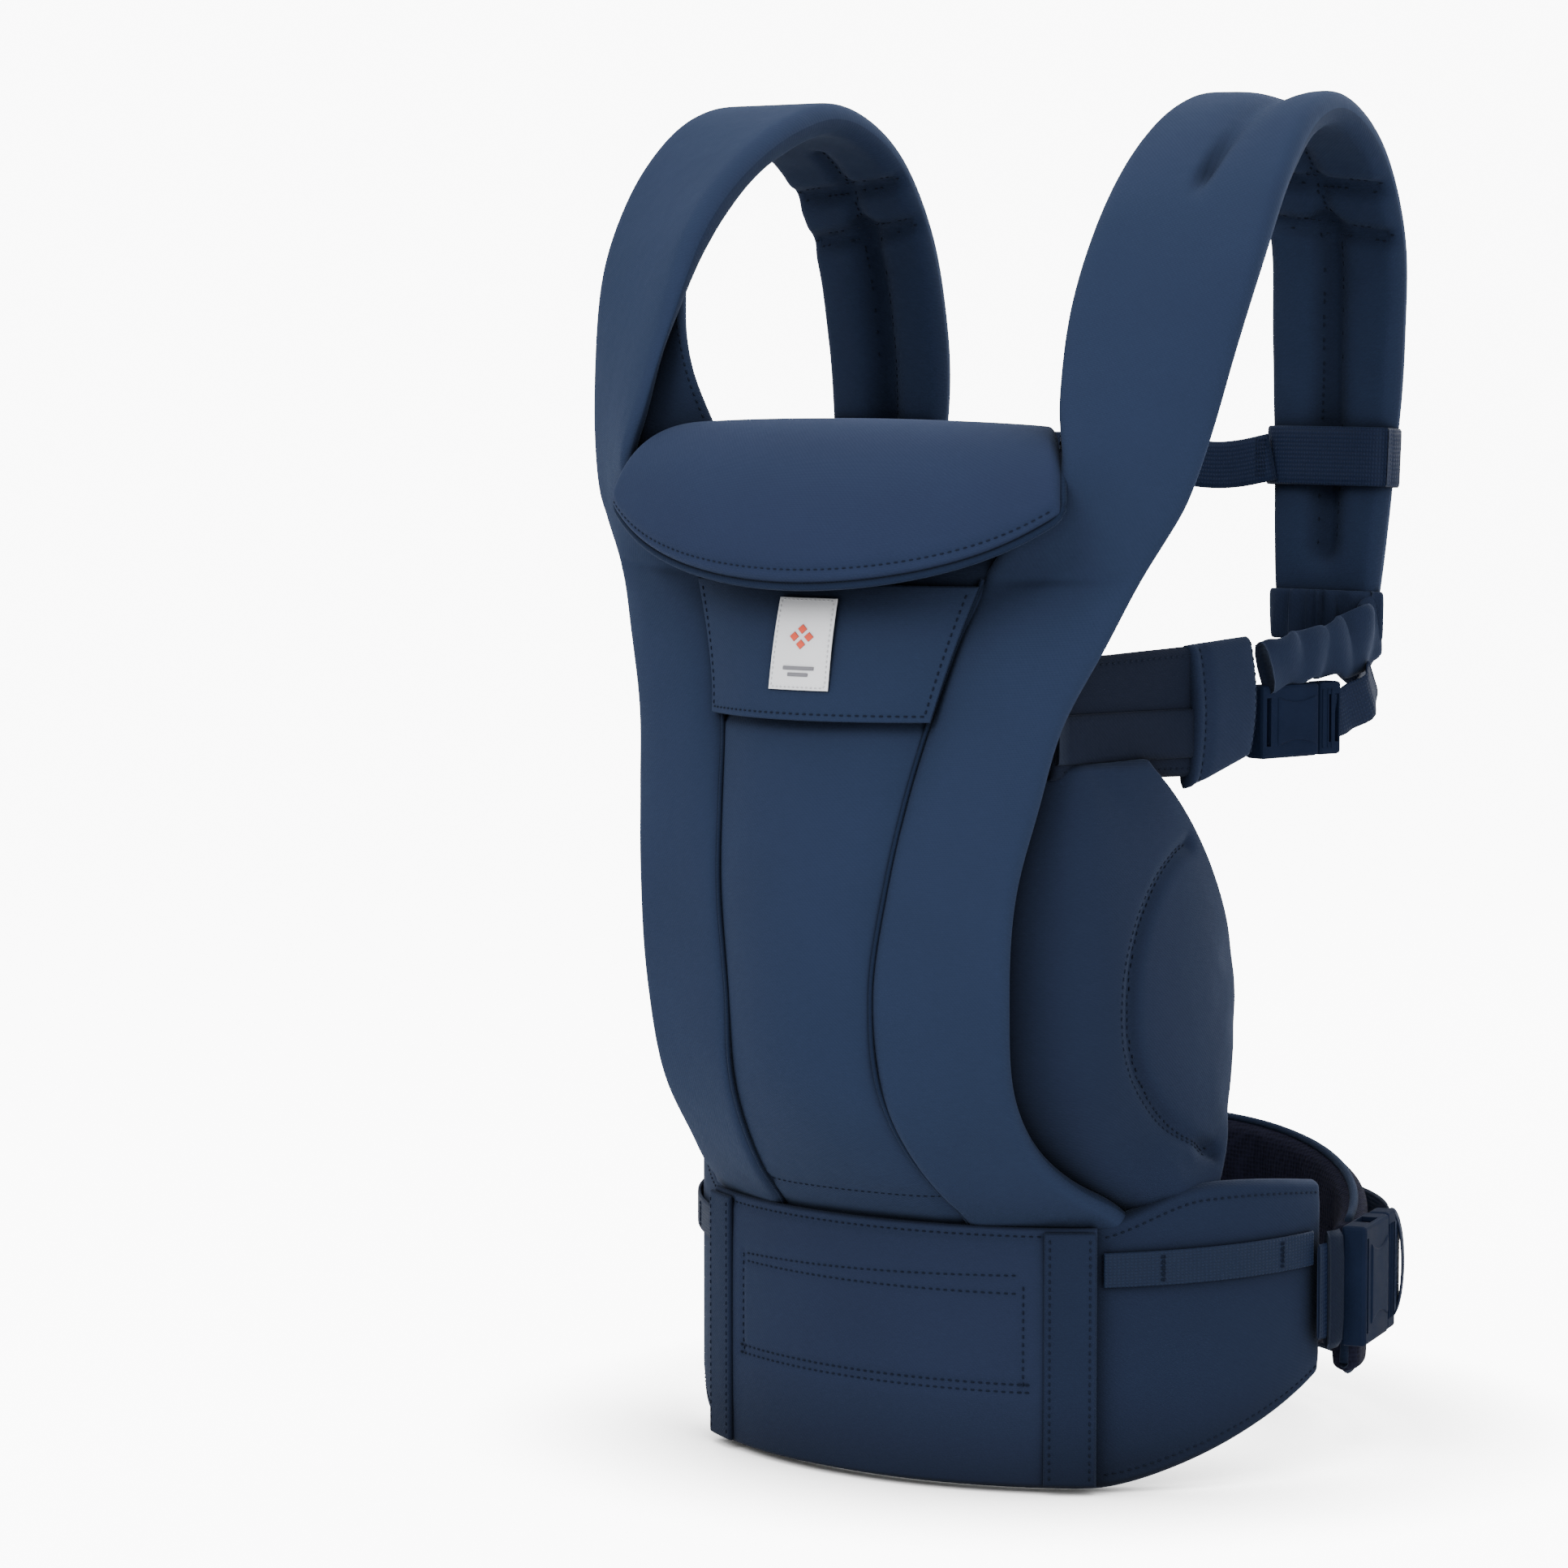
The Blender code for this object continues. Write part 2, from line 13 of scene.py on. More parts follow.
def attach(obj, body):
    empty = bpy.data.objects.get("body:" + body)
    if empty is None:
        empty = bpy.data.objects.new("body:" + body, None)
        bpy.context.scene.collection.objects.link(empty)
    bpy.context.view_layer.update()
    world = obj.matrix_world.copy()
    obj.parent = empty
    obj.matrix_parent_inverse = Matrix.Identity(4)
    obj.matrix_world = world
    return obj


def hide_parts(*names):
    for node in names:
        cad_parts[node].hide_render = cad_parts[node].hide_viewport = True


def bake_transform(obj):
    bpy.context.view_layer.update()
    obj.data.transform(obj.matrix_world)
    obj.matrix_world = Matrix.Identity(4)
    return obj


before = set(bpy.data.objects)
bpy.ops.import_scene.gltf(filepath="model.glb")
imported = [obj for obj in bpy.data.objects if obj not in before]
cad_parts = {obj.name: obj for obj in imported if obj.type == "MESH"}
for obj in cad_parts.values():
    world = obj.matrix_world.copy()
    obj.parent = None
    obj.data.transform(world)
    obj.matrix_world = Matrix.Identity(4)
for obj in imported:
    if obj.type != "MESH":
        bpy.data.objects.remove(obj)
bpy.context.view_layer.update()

# ---- driving dimensions, the same as the frame's ------------------------------------------------
# Pieces are laid out about the middle of the belt loop, which stands here in the shared frame.
LOOP_PLACE = Vector((0, 0.163, 0))
UP = Vector((0, 0, 1))
BELT_HALF_WIDTH = 0.186
BELT_FRONT_DEPTH = 0.162
BELT_CENTRE = Vector((0, -0.010, 0))
BELT_HEIGHT = 0.139
BELT_THICKNESS = 0.018
BELT_PAD_HALF_LENGTH = 0.264
COVER_HALF_LENGTH = 0.125
WING_END_BOTTOM = 0.052
WING_END_TOP = 0.152
WAIST_WEB = 0.050
WAIST_WEB_RADIUS = BELT_HALF_WIDTH + 0.0055
WAIST_WEB_HEIGHT = (WING_END_BOTTOM + WING_END_TOP) / 2 - 0.006
WAIST_BUCKLE_DEGREES = 13.4
STRAP_WEB = 0.025
WEB_THICKNESS = 0.0018
STRAP_THICKNESS = 0.018
BAND_THICKNESS = 0.013
PANEL_THICKNESS = 0.007
CHEST_HEIGHT = 0.524
CHEST_WEB_GAP = 0.0055       # from the strap's face to the middle of the chest webbing
SIDE_MOUTH = Vector((0.1632, -0.001, 0.390))
SIDE_PULL = Vector((0.25, 0.97, 0)).normalized()

# The body panel's outline: height, front y, the seam's x and y, the outer edge's x and y.
PANEL_STATIONS = (
    (0.131, -0.160, 0.058, -0.153, 0.129, -0.114),
    (0.142, -0.170, 0.057, -0.163, 0.125, -0.123),
    (0.156, -0.188, 0.054, -0.181, 0.115, -0.148),
    (0.175, -0.208, 0.050, -0.200, 0.1065, -0.172),
    (0.205, -0.231, 0.046, -0.220, 0.105, -0.196),
    (0.258, -0.245, 0.044, -0.229, 0.108, -0.208),
    (0.314, -0.244, 0.051, -0.226, 0.112, -0.208),
    (0.355, -0.237, 0.056, -0.217, 0.119, -0.199),
    (0.397, -0.228, 0.063, -0.205, 0.127, -0.189),
    (0.435, -0.221, 0.074, -0.198, 0.143, -0.176),
    (0.468, -0.212, 0.086, -0.192, 0.157, -0.166),
)
PANEL_LOW, PANEL_HIGH = PANEL_STATIONS[0][0], PANEL_STATIONS[-1][0]
PANEL_TOP_HEIGHT = 0.524
PANEL_TOP_FRONT_Y = -0.170
PANEL_LAP = 0.006            # how far the panel reaches under each side band
PANEL_TOP_FLARE = 0.034      # how far its top corners reach out behind the straps
SLIT_HEIGHT = 0.396

# The shoulder strap's centre line: x, y, z, its width direction's turn about Z and its width.
STRAP_PATH = (
    (0.150, -0.176, 0.484, 42, 0.050),
    (0.155, -0.176, 0.512, 41, 0.062),
    (0.157, -0.169, 0.545, 36, 0.072),
    (0.158, -0.154, 0.590, 30, 0.080),
    (0.160, -0.130, 0.636, 26, 0.082),
    (0.158, -0.094, 0.676, 16, 0.080),
    (0.155, -0.060, 0.697, 7, 0.078),
    (0.153, -0.030, 0.704, 0, 0.076),
    (0.150, 0.020, 0.686, 0, 0.074),
    (0.147, 0.053, 0.640, 0, 0.073),
    (0.143, 0.062, 0.588, 0, 0.073),
    (0.142, 0.053, 0.431, 0, 0.054),
)
STRAP_MARGIN = 0.035         # its rounded edges reach this share of its width past the sections

LEG_LOW, LEG_HIGH, LEG_WIDEST = 0.139, 0.376, 0.247
LEG_HIDDEN = 0.22            # share of the leg pad that lies behind the side band

SIM_FRAMES = 20
CELL = 0.0095                # spacing of a padded piece's points before it is subdivided
SIM_SETTINGS = {
    "quality": 5, "mass": 0.2, "tension_stiffness": 12, "compression_stiffness": 12,
    "shear_stiffness": 6, "bending_stiffness": 0.6, "use_pressure": True,
    "uniform_pressure_force": 4.0, "vertex_group_mass": "sewn",
}


# ---- curves and surfaces ------------------------------------------------------------------------
def clamp(t):
    return min(1.0, max(0.0, t))


def smooth(t):
    t = clamp(t)
    return t * t * (3 - 2 * t)


def interpolate(rows, at):
    """Smooth values between rows, which are sorted by their first column."""
    table = np.array(rows, float)
    keys = table[:, 0]
    slopes = np.gradient(table, keys, axis=0)
    i = int(np.clip(np.searchsorted(keys, at) - 1, 0, len(keys) - 2))
    step = keys[i + 1] - keys[i]
    t = np.clip((at - keys[i]) / step, 0, 1)
    start, end = 2 * t**3 - 3 * t**2 + 1, 3 * t**2 - 2 * t**3
    lead, trail = (t**3 - 2 * t**2 + t) * step, (t**3 - t**2) * step
    return start * table[i] + end * table[i + 1] + lead * slopes[i] + trail * slopes[i + 1]


def normal_at(surface, u, v):
    step = 0.004
    along_u = surface(u + step, v) - surface(u - step, v)
    along_v = surface(u, v + step) - surface(u, v - step)
    return along_u.cross(along_v).normalized()


def lifted(surface, places, lift):
    """Points at (u, v) places of a surface, lifted off it."""
    return [surface(u, v) + normal_at(surface, u, v) * lift for u, v in places]


def total_length(points):
    return sum((b - a).length for a, b in zip(points, points[1:]))


def path_on(surface, corners, lift=0.0, spacing=0.002):
    """Points along straight stretches between (u, v) corners of a surface, lifted off it."""
    places = []
    for (u0, v0), (u1, v1) in zip(corners, corners[1:]):
        def stretch(count, last):
            return [(u0 + (u1 - u0) * k / count, v0 + (v1 - v0) * k / count) for k in range(last)]
        length = total_length([surface(u, v) for u, v in stretch(8, 9)])
        count = max(2, int(length / spacing))
        places += stretch(count, count)
    return lifted(surface, [*places, corners[-1]], lift)


def travelled_along(points):
    """The distance along a polyline at each of its points."""
    steps = np.diff(np.array([tuple(p) for p in points]), axis=0)
    return np.concatenate([[0], np.cumsum(np.linalg.norm(steps, axis=1))])


def resample(points, spacing):
    """Evenly spaced points along a polyline."""
    line = np.array([tuple(p) for p in points])
    travelled = travelled_along(points)
    at = np.linspace(0, travelled[-1], max(2, int(travelled[-1] / spacing) + 1))
    columns = [np.interp(at, travelled, line[:, k]) for k in range(3)]
    return [Vector(p) for p in zip(*columns)]


def curve_through(points, spacing=0.004):
    """A smooth curve through points."""
    table = [(k, *p) for k, p in enumerate(points)]
    at = np.linspace(0, len(points) - 1, 12 * len(points))
    return resample([Vector(interpolate(table, t)[1:4]) for t in at], spacing)


def squared_circle(angle, corner):
    """A point on a circle that is squared off; a corner of 1 leaves it round."""
    return [math.copysign(abs(x) ** corner, x) for x in (math.cos(angle), math.sin(angle))]


# ---- meshes -------------------------------------------------------------------------------------
def add_object(name, data):
    made = bpy.data.objects.new(name, data)
    bpy.context.scene.collection.objects.link(made)
    return made


def add_piece(name, points, faces, uvs, material):
    """A mesh object from points in the layout, moved to its place in the shared frame."""
    mesh = bpy.data.meshes.new(name)
    mesh.from_pydata([tuple(Vector(p) + LOOP_PLACE) for p in points], [], faces)
    layer = mesh.uv_layers.new(name="cloth")
    corners = np.array([uvs[loop.vertex_index] for loop in mesh.loops], np.float32)
    layer.data.foreach_set("uv", corners.ravel())
    mesh.materials.append(material)
    mesh.shade_smooth()
    return add_object(name, mesh)


def edge_steps(length, rounding, cell):
    """Shares of a length: close together over each rounded edge, then one per cell."""
    edge = min(0.45, rounding / length)
    turn = [edge * (1 - math.cos(math.radians(a))) for a in (0, 35, 65, 90)]
    inner = np.linspace(edge, 1 - edge, max(2, round(length * (1 - 2 * edge) / cell) + 1))
    return turn + list(inner[1:-1]) + [1 - t for t in reversed(turn)], edge


def round_off(share, edge):
    """0 at an edge, rising as a quarter circle to 1."""
    near = min(share, 1 - share) / edge
    return 1.0 if near >= 1 else math.sqrt(max(0.0, 1 - (1 - near) ** 2))


def padded(name, surface, thickness, material, cell=CELL, rounding=None, shape=None,
           back_cloth=None, levels=0):
    """A closed pad about a surface: rounded at its four edges, where its two faces meet.
    shape(v) scales the thickness. Its front face is on the side of the surface's normal;
    back_cloth is the material of the other face."""
    rounding = rounding or thickness / 2
    wide = total_length([surface(k / 16, 0.5) for k in range(17)])
    tall = total_length([surface(0.5, k / 32) for k in range(33)])
    us, edge_u = edge_steps(wide, rounding, cell)
    vs, edge_v = edge_steps(tall, rounding, cell)
    columns, rows = len(us), len(vs)
    points, uvs, faces = [], [], []
    for face in (1, -1):
        for v in vs:
            for u in us:
                half = thickness / 2 * round_off(u, edge_u) * round_off(v, edge_v)
                half *= shape(v) if shape else 1
                points.append(surface(u, v) + normal_at(surface, u, v) * half * face)
                uvs.append((u * wide, v * tall))

    def is_rim(i, j):
        return i in (0, columns - 1) or j in (0, rows - 1)

    def index(i, j, offset):
        return j * columns + i + (0 if is_rim(i, j) else offset)

    for j in range(rows - 1):
        for i in range(columns - 1):
            ring = [(i, j), (i + 1, j), (i + 1, j + 1), (i, j + 1)]
            faces.append([index(*c, 0) for c in ring])
            faces.append([index(*c, columns * rows) for c in reversed(ring)])
    piece = add_piece(name, points, faces, uvs, material)
    if back_cloth:
        piece.data.materials.append(back_cloth)
        for polygon in piece.data.polygons:
            polygon.material_index = polygon.index % 2
    rim = [j * columns + i for j in range(rows) for i in range(columns) if is_rim(i, j)]
    piece.vertex_groups.new(name="sewn").add(rim, 1.0, "REPLACE")
    tidy = bmesh.new()
    tidy.from_mesh(piece.data)
    bmesh.ops.delete(tidy, geom=[v for v in tidy.verts if not v.link_faces], context="VERTS")
    tidy.to_mesh(piece.data)
    tidy.free()
    if levels:
        subdivide(piece, levels)
    return piece


def swept(name, points, across, width, thickness, material, corner=0.5, sides=10):
    """A band swept along points; across gives its width direction at each of them."""
    count = len(points)
    ring = [squared_circle(2 * math.pi * k / sides, corner) for k in range(sides)]
    travelled = 0.0
    uvs, verts, faces = [], [], []
    for i, point in enumerate(points):
        tangent = (points[min(i + 1, count - 1)] - points[max(i - 1, 0)]).normalized()
        side = Vector(across(i / (count - 1)) if callable(across) else across)
        side = (side - tangent * side.dot(tangent)).normalized()
        out = side.cross(tangent)
        travelled += (point - points[i - 1]).length if i else 0
        w = width(i / (count - 1)) if callable(width) else width
        for a, b in ring:
            verts.append(point + side * w * (a / 2) + out * thickness * (b / 2))
            uvs.append((w * a / 2, travelled))
    for i in range(count - 1):
        for k in range(sides):
            a, b = i * sides + k, i * sides + (k + 1) % sides
            faces.append((a + sides, b + sides, b, a))
    faces.append(list(reversed(range(sides))))
    faces.append([(count - 1) * sides + k for k in range(sides)])
    return add_piece(name, verts, faces, uvs, material)


def web(name, points, across=UP, width=STRAP_WEB):
    """A run of webbing."""
    return swept(name, points, across, width, WEB_THICKNESS, webbing, corner=0.35)


def cord(name, points, radius, material):
    """A round cord along points."""
    points = resample(points, 0.004)
    lead = (points[-1] - points[0]).normalized()
    helper = UP if abs(lead.z) < 0.8 else Vector((0.6, 0.8, 0))
    return swept(name, points, helper, radius * 2, radius * 2, material, corner=1.0, sides=8)


def joined(name, pieces):
    """One piece from several that share a body."""
    pieces = [p for p in pieces if p]
    shape = bmesh.new()
    slots = []
    for piece in pieces:
        material = piece.data.materials[0]
        if material not in slots:
            slots.append(material)
        before = len(shape.faces)
        shape.from_mesh(piece.data)
        shape.faces.ensure_lookup_table()
        for face in shape.faces[before:]:
            face.material_index = slots.index(material)
        bpy.data.objects.remove(piece)
    mesh = bpy.data.meshes.new(name)
    shape.to_mesh(mesh)
    shape.free()
    for material in slots:
        mesh.materials.append(material)
    mesh.shade_smooth()
    return add_object(name, mesh)


def to_right(name):
    return name.replace("left", "right")


def mirrored(piece):
    """The wearer's right-hand copy of a left-hand piece."""
    mesh = piece.data.copy()
    mesh.name = to_right(piece.name)
    mesh.transform(Matrix.Diagonal((-1, 1, 1, 1)))
    mesh.flip_normals()
    return add_object(mesh.name, mesh)


def subdivide(piece, levels=1):
    modifier = piece.modifiers.new("smooth", "SUBSURF")
    modifier.levels = modifier.render_levels = levels
    smoothed = piece.evaluated_get(bpy.context.evaluated_depsgraph_get())
    mesh = bpy.data.meshes.new_from_object(smoothed)
    piece.modifiers.clear()
    piece.data = mesh
    mesh.shade_smooth()


def coordinates(mesh):
    values = np.zeros(len(mesh.vertices) * 3, np.float32)
    mesh.vertices.foreach_get("co", values)
    return values.reshape(-1, 3).astype(float)


def set_coordinates(mesh, values):
    mesh.vertices.foreach_set("co", values.astype(np.float32).ravel())
    mesh.update()


# ---- sewing -------------------------------------------------------------------------------------
def search_tree(line):
    """A search tree over points of the layout."""
    tree = KDTree(len(line))
    for i, point in enumerate(line):
        tree.insert(point + LOOP_PLACE, i)
    tree.balance()
    return tree


def groove(piece, points, depth, width, fade=None):
    """Presses a rounded valley into a piece along points of the layout. fade(t) scales its depth
    along the line."""
    line = resample(points, width / 4)
    tree = search_tree(line)
    places = coordinates(piece.data)
    normals = np.array([v.normal for v in piece.data.vertices])
    for i, place in enumerate(places):
        _, k, distance = tree.find(place)
        if distance < width * 2.2:
            amount = depth * math.exp(-((distance / width) ** 2))
            amount *= fade(k / (len(line) - 1)) if fade else 1
            places[i] -= normals[i] * amount
    set_coordinates(piece.data, places)


def stitches(host, points, name="stitches", cloth=None, length=0.0026, gap=0.0014, radius=0.00038):
    """Thread along points of the layout, laid on the host's surface."""
    lift = 0.0002
    tree = BVHTree.FromObject(host, bpy.context.evaluated_depsgraph_get())
    line = resample(points, length + gap)
    verts, faces, uvs = [], [], []
    ring = [(math.cos(a), math.sin(a)) for a in (0, math.pi / 2, math.pi, 1.5 * math.pi)]
    for start, end in zip(line, line[1:]):
        place, normal, _, distance = tree.find_nearest((start + end) / 2 + LOOP_PLACE)
        if place is None or distance > 0.012:
            continue
        along = (end - start).normalized()
        along = (along - normal * along.dot(normal)).normalized()
        side = normal.cross(along)
        place = place + normal * lift - LOOP_PLACE
        first = len(verts)
        for share, size in ((-0.5, 0.35), (-0.28, 1.0), (0.28, 1.0), (0.5, 0.35)):
            drop = -radius * 1.6 if abs(share) == 0.5 else 0
            for c, s in ring:
                verts.append(place + along * length * share + side * radius * size * c
                             + normal * (radius * size * s + drop))
                uvs.append((c, share))
        for r in range(3):
            for k in range(4):
                a, b = first + r * 4 + k, first + r * 4 + (k + 1) % 4
                faces.append((a, b, b + 4, a + 4))
        faces += [[first + k for k in (3, 2, 1, 0)], [first + k for k in (12, 13, 14, 15)]]
    return add_piece(name, verts, faces, uvs, cloth or thread) if verts else None


def seam(host, surface, corners, lift, depth=0.0, width=0.0, **kind):
    """Thread between (u, v) corners of the host's surface, in a valley where it has a depth."""
    line = path_on(surface, corners, lift)
    if depth:
        groove(host, line, depth, width)
    return stitches(host, line, **kind)


def sewn(name, host, surface, lines, *args, **kind):
    """One piece of thread along several seams of a host."""
    return joined(name, [seam(host, surface, line, *args, **kind) for line in lines])


def upright(u, low=0.02, high=0.98):
    return (u, low), (u, high)


def level(v, low, high):
    return (low, v), (high, v)


def hold(piece, line, reach):
    """Keeps the points of a pad near a sewn line of the layout still in the simulation."""
    tree = search_tree(line)
    near = [v.index for v in piece.data.vertices if tree.find(v.co)[2] < reach]
    piece.vertex_groups["sewn"].add(near, 1.0, "REPLACE")


def soften(caps):
    """Swells the pads by cloth simulation, all at once. A pad's rim and sewn lines stay put, and
    its cap is the furthest that any of its points may move."""
    for piece in caps:
        cloth = piece.modifiers.new("cloth", "CLOTH")
        for key, value in SIM_SETTINGS.items():
            setattr(cloth.settings, key, value)
        cloth.settings.effector_weights.gravity = 0
        cloth.collision_settings.use_collision = False
        cloth.point_cache.frame_start = 1
        cloth.point_cache.frame_end = SIM_FRAMES
    for number in range(1, SIM_FRAMES + 1):
        bpy.context.scene.frame_set(number)
    depsgraph = bpy.context.evaluated_depsgraph_get()
    for piece, cap in caps.items():
        rest = coordinates(piece.data)
        move = coordinates(piece.evaluated_get(depsgraph).data) - rest
        distance = np.linalg.norm(move, axis=1)
        share = cap * np.tanh(distance / cap) / np.maximum(distance, 1e-9)
        piece.modifiers.clear()
        set_coordinates(piece.data, rest + move * share[:, None])
    bpy.context.scene.frame_set(1)


# ---- materials ----------------------------------------------------------------------------------
CLOTH_PAINTED_SHADE_REACH = 0.06     # how near another surface must be to darken the cloth
BANDS_PER_METRE = 0.314      # a wave texture's scale for bands one metre apart
SHEEN = {"Sheen Weight": 0.04, "Sheen Tint": (0.30, 0.42, 0.70, 1)}
BACKDROP_GLOW = 9.0
WORLD_GLOW = 0.9


class Nodes:
    """The shader nodes of a material or a world. Sockets are given by name or number, each with
    its value or with the output that feeds it."""

    def __init__(self, owner):
        owner.use_nodes = True
        self.owner, self.tree = owner, owner.node_tree

    def feed(self, node, sockets):
        for key, value in sockets.items():
            if isinstance(value, bpy.types.NodeSocket):
                self.tree.links.new(value, node.inputs[key])
            else:
                node.inputs[key].default_value = value

    def add(self, kind, sockets=None, **settings):
        node = self.tree.nodes.new("ShaderNode" + kind)
        for key, value in settings.items():
            setattr(node, key, value)
        self.feed(node, sockets or {})
        return node.outputs

    def math(self, operation, *values):
        return self.add("Math", dict(enumerate(values)), operation=operation)[0]

    def noise(self, scale, detail=3.0):
        place = self.add("TexCoord")["Object"]
        return self.add("TexNoise", {"Vector": place, "Scale": scale, "Detail": detail})["Fac"]

    def bands(self, direction, pitch, distortion):
        """Bands in the cloth's own plane, a pitch apart."""
        sockets = {"Vector": self.add("UVMap")[0], "Scale": BANDS_PER_METRE / pitch,
                   "Distortion": distortion}
        return self.add("TexWave", sockets, bands_direction=direction)["Fac"]

    def tinted(self, colour, factor, low, high):
        """The colour, scaled from low to high by a factor."""
        ends = [(*[c * scale for c in colour], 1) for scale in (low, high)]
        return self.add("Mix", {0: factor, 6: ends[0], 7: ends[1]}, data_type="RGBA")[2]

    def bump(self, height, strength, distance, **below):
        return self.add("Bump", {"Height": height, "Strength": strength, "Distance": distance,
                                 **below})[0]

    def surface(self, colour, roughness, specular, normal, **more):
        """Finishes the material and gives it back."""
        self.feed(self.tree.nodes["Principled BSDF"], {
            "Base Color": colour, "Roughness": roughness, "Specular IOR Level": specular,
            "Normal": normal, **more})
        return self.owner


def cloth_material(name, colour, pitch=0.0011, weave="DIAGONAL", roughness=0.85, sheen=0.10,
                   relief=0.25, crumple=0.3):
    """Woven cloth: a weave, soft creases, patchy tint and a sheen. Painted shade, from ambient
    occlusion, darkens its colour where it runs into a seam or under another piece."""
    nodes = Nodes(bpy.data.materials.new(name))
    threads = nodes.math("MULTIPLY_ADD", nodes.bands(weave, pitch, 0.6), 0.6, 0.2)
    across = nodes.bands("X" if weave == "Y" else "Y", pitch * 0.62, 0.4)
    woven = nodes.math("MULTIPLY", threads, across)
    patches = nodes.math("MULTIPLY", nodes.noise(16, 4), 0.55)
    tint = nodes.math("ADD", nodes.math("MULTIPLY_ADD", woven, 0.35, 0.15), patches)
    # Painted shade: ambient occlusion darkens the cloth's colour near other surfaces.
    colour_with_painted_shade = nodes.add("AmbientOcclusion", {"Color": nodes.tinted(colour, tint, 0.80, 1.18),
                                            "Distance": CLOTH_PAINTED_SHADE_REACH}, samples=6)["Color"]
    fuzz = nodes.math("ADD", woven, nodes.math("MULTIPLY", nodes.noise(900, 2), 0.4))
    creases = nodes.bump(nodes.noise(26, 3), crumple, 0.0035)
    return nodes.surface(colour_with_painted_shade, roughness, 0.12,
                         nodes.bump(fuzz, relief, 0.0006, Normal=creases),
                         **{**SHEEN, "Sheen Weight": sheen, "Sheen Roughness": 0.45})


def webbing_material(name, colour):
    """Ribbed webbing: fine ribs across it and a herringbone along its length."""
    nodes = Nodes(bpy.data.materials.new(name))
    height = nodes.math("MULTIPLY", nodes.bands("Y", 0.0016, 0.2), nodes.bands("X", 0.0022, 0.3))
    rough = nodes.math("MULTIPLY_ADD", nodes.noise(60), 0.2, 0.52)
    return nodes.surface(nodes.tinted(colour, height, 0.82, 1.15), rough, 0.12,
                         nodes.bump(height, 0.45, 0.0007), **SHEEN)


def mesh_lining_material(name, colour):
    """Spacer mesh: small open cells in dark cloth."""
    nodes = Nodes(bpy.data.materials.new(name))
    cells = {"Vector": nodes.add("TexCoord")["Object"], "Scale": 420, "Randomness": 0.25}
    depth = nodes.add("TexVoronoi", cells)["Distance"]
    return nodes.surface(nodes.tinted(colour, depth, 0.45, 1.5), 0.85, 0.06,
                         nodes.bump(depth, 0.6, 0.001))


def plastic_material(name, colour):
    """Moulded plastic with a fine spark texture, smoother where it is handled."""
    nodes = Nodes(bpy.data.materials.new(name))
    patches = nodes.noise(45, 3)
    rough = nodes.math("MULTIPLY_ADD", patches, 0.22, 0.42)
    return nodes.surface(nodes.tinted(colour, patches, 0.8, 1.25), rough, 0.012,
                         nodes.bump(nodes.noise(1500, 2), 0.18, 0.0003))


def backdrop_material():
    """Pale paper. The camera sees it glowing, as a studio sweep, with a painted shadow from ambient
    occlusion where the pieces stand on it; for everything else it is plain white paper."""
    nodes = Nodes(bpy.data.materials.new("backdrop"))
    nodes.tree.nodes.remove(nodes.tree.nodes["Principled BSDF"])
    tint = nodes.tinted((0.85, 0.85, 0.85), nodes.noise(2), 0.98, 1.0)
    # Painted shadow: ambient occlusion darkens the glow that the camera sees near the pieces.
    shade = nodes.add("AmbientOcclusion", {"Distance": 0.14}, samples=12)["AO"]
    glow_with_painted_shadow = nodes.math("MULTIPLY", nodes.math("POWER", shade, 3.0), BACKDROP_GLOW)
    seen = nodes.add("LightPath")["Is Camera Ray"]
    both = nodes.add("AddShader", {
        0: nodes.add("BsdfDiffuse", {"Color": tint})[0],
        1: nodes.add("Emission", {"Strength": nodes.math("MULTIPLY", glow_with_painted_shadow, seen)})[0],
    })
    nodes.feed(nodes.tree.nodes["Material Output"], {"Surface": both[0]})
    return nodes.owner


cotton = cloth_material("navy_cotton", (0.0124, 0.0218, 0.0505))
cotton_light = cloth_material("navy_cotton_flap", (0.0126, 0.0210, 0.0508), crumple=0.18)
cotton_belt = cloth_material("navy_cotton_belt", (0.0114, 0.0186, 0.0438))
# A darker copy of the navy cotton for the pieces on the sides: painted shade, where the sides turn
# away from the light.
side_cotton_painted_shade = cloth_material("navy_cotton_painted_side_shade", (0.0078, 0.0138, 0.0338))
piping = cloth_material("navy_piping", (0.0055, 0.0118, 0.0310), pitch=0.0009, relief=0.35)
lining = mesh_lining_material("dark_spacer_mesh", (0.0088, 0.0094, 0.0205))
inner_lining = cloth_material("dark_inner_cloth", (0.0034, 0.0062, 0.0165), sheen=0.06)
# A darker copy of the navy cotton for the straps' inner faces: painted shade.
inside_strap_painted_shade = cloth_material("strap_inside_painted_shade_cloth", (0.0088, 0.0162, 0.0390), sheen=0.05)
webbing = webbing_material("navy_webbing", (0.0044, 0.0100, 0.0300))
belt_webbing = webbing_material("navy_belt_webbing", (0.0062, 0.0128, 0.0330))
thread = cloth_material("navy_thread", (0.0062, 0.0114, 0.0275), pitch=0.0005, weave="Y", sheen=0.0)
plastic = plastic_material("navy_plastic", (0.0066, 0.0108, 0.0255))
label_white = cloth_material("label_satin", (0.80, 0.81, 0.84), pitch=0.0006, roughness=0.5,
                             relief=0.12, crumple=0.1)
motif_coral = cloth_material("label_coral", (0.75, 0.10, 0.06), pitch=0.0005, weave="Y")
motif_grey = cloth_material("label_grey", (0.20, 0.20, 0.22), pitch=0.0005, weave="Y")


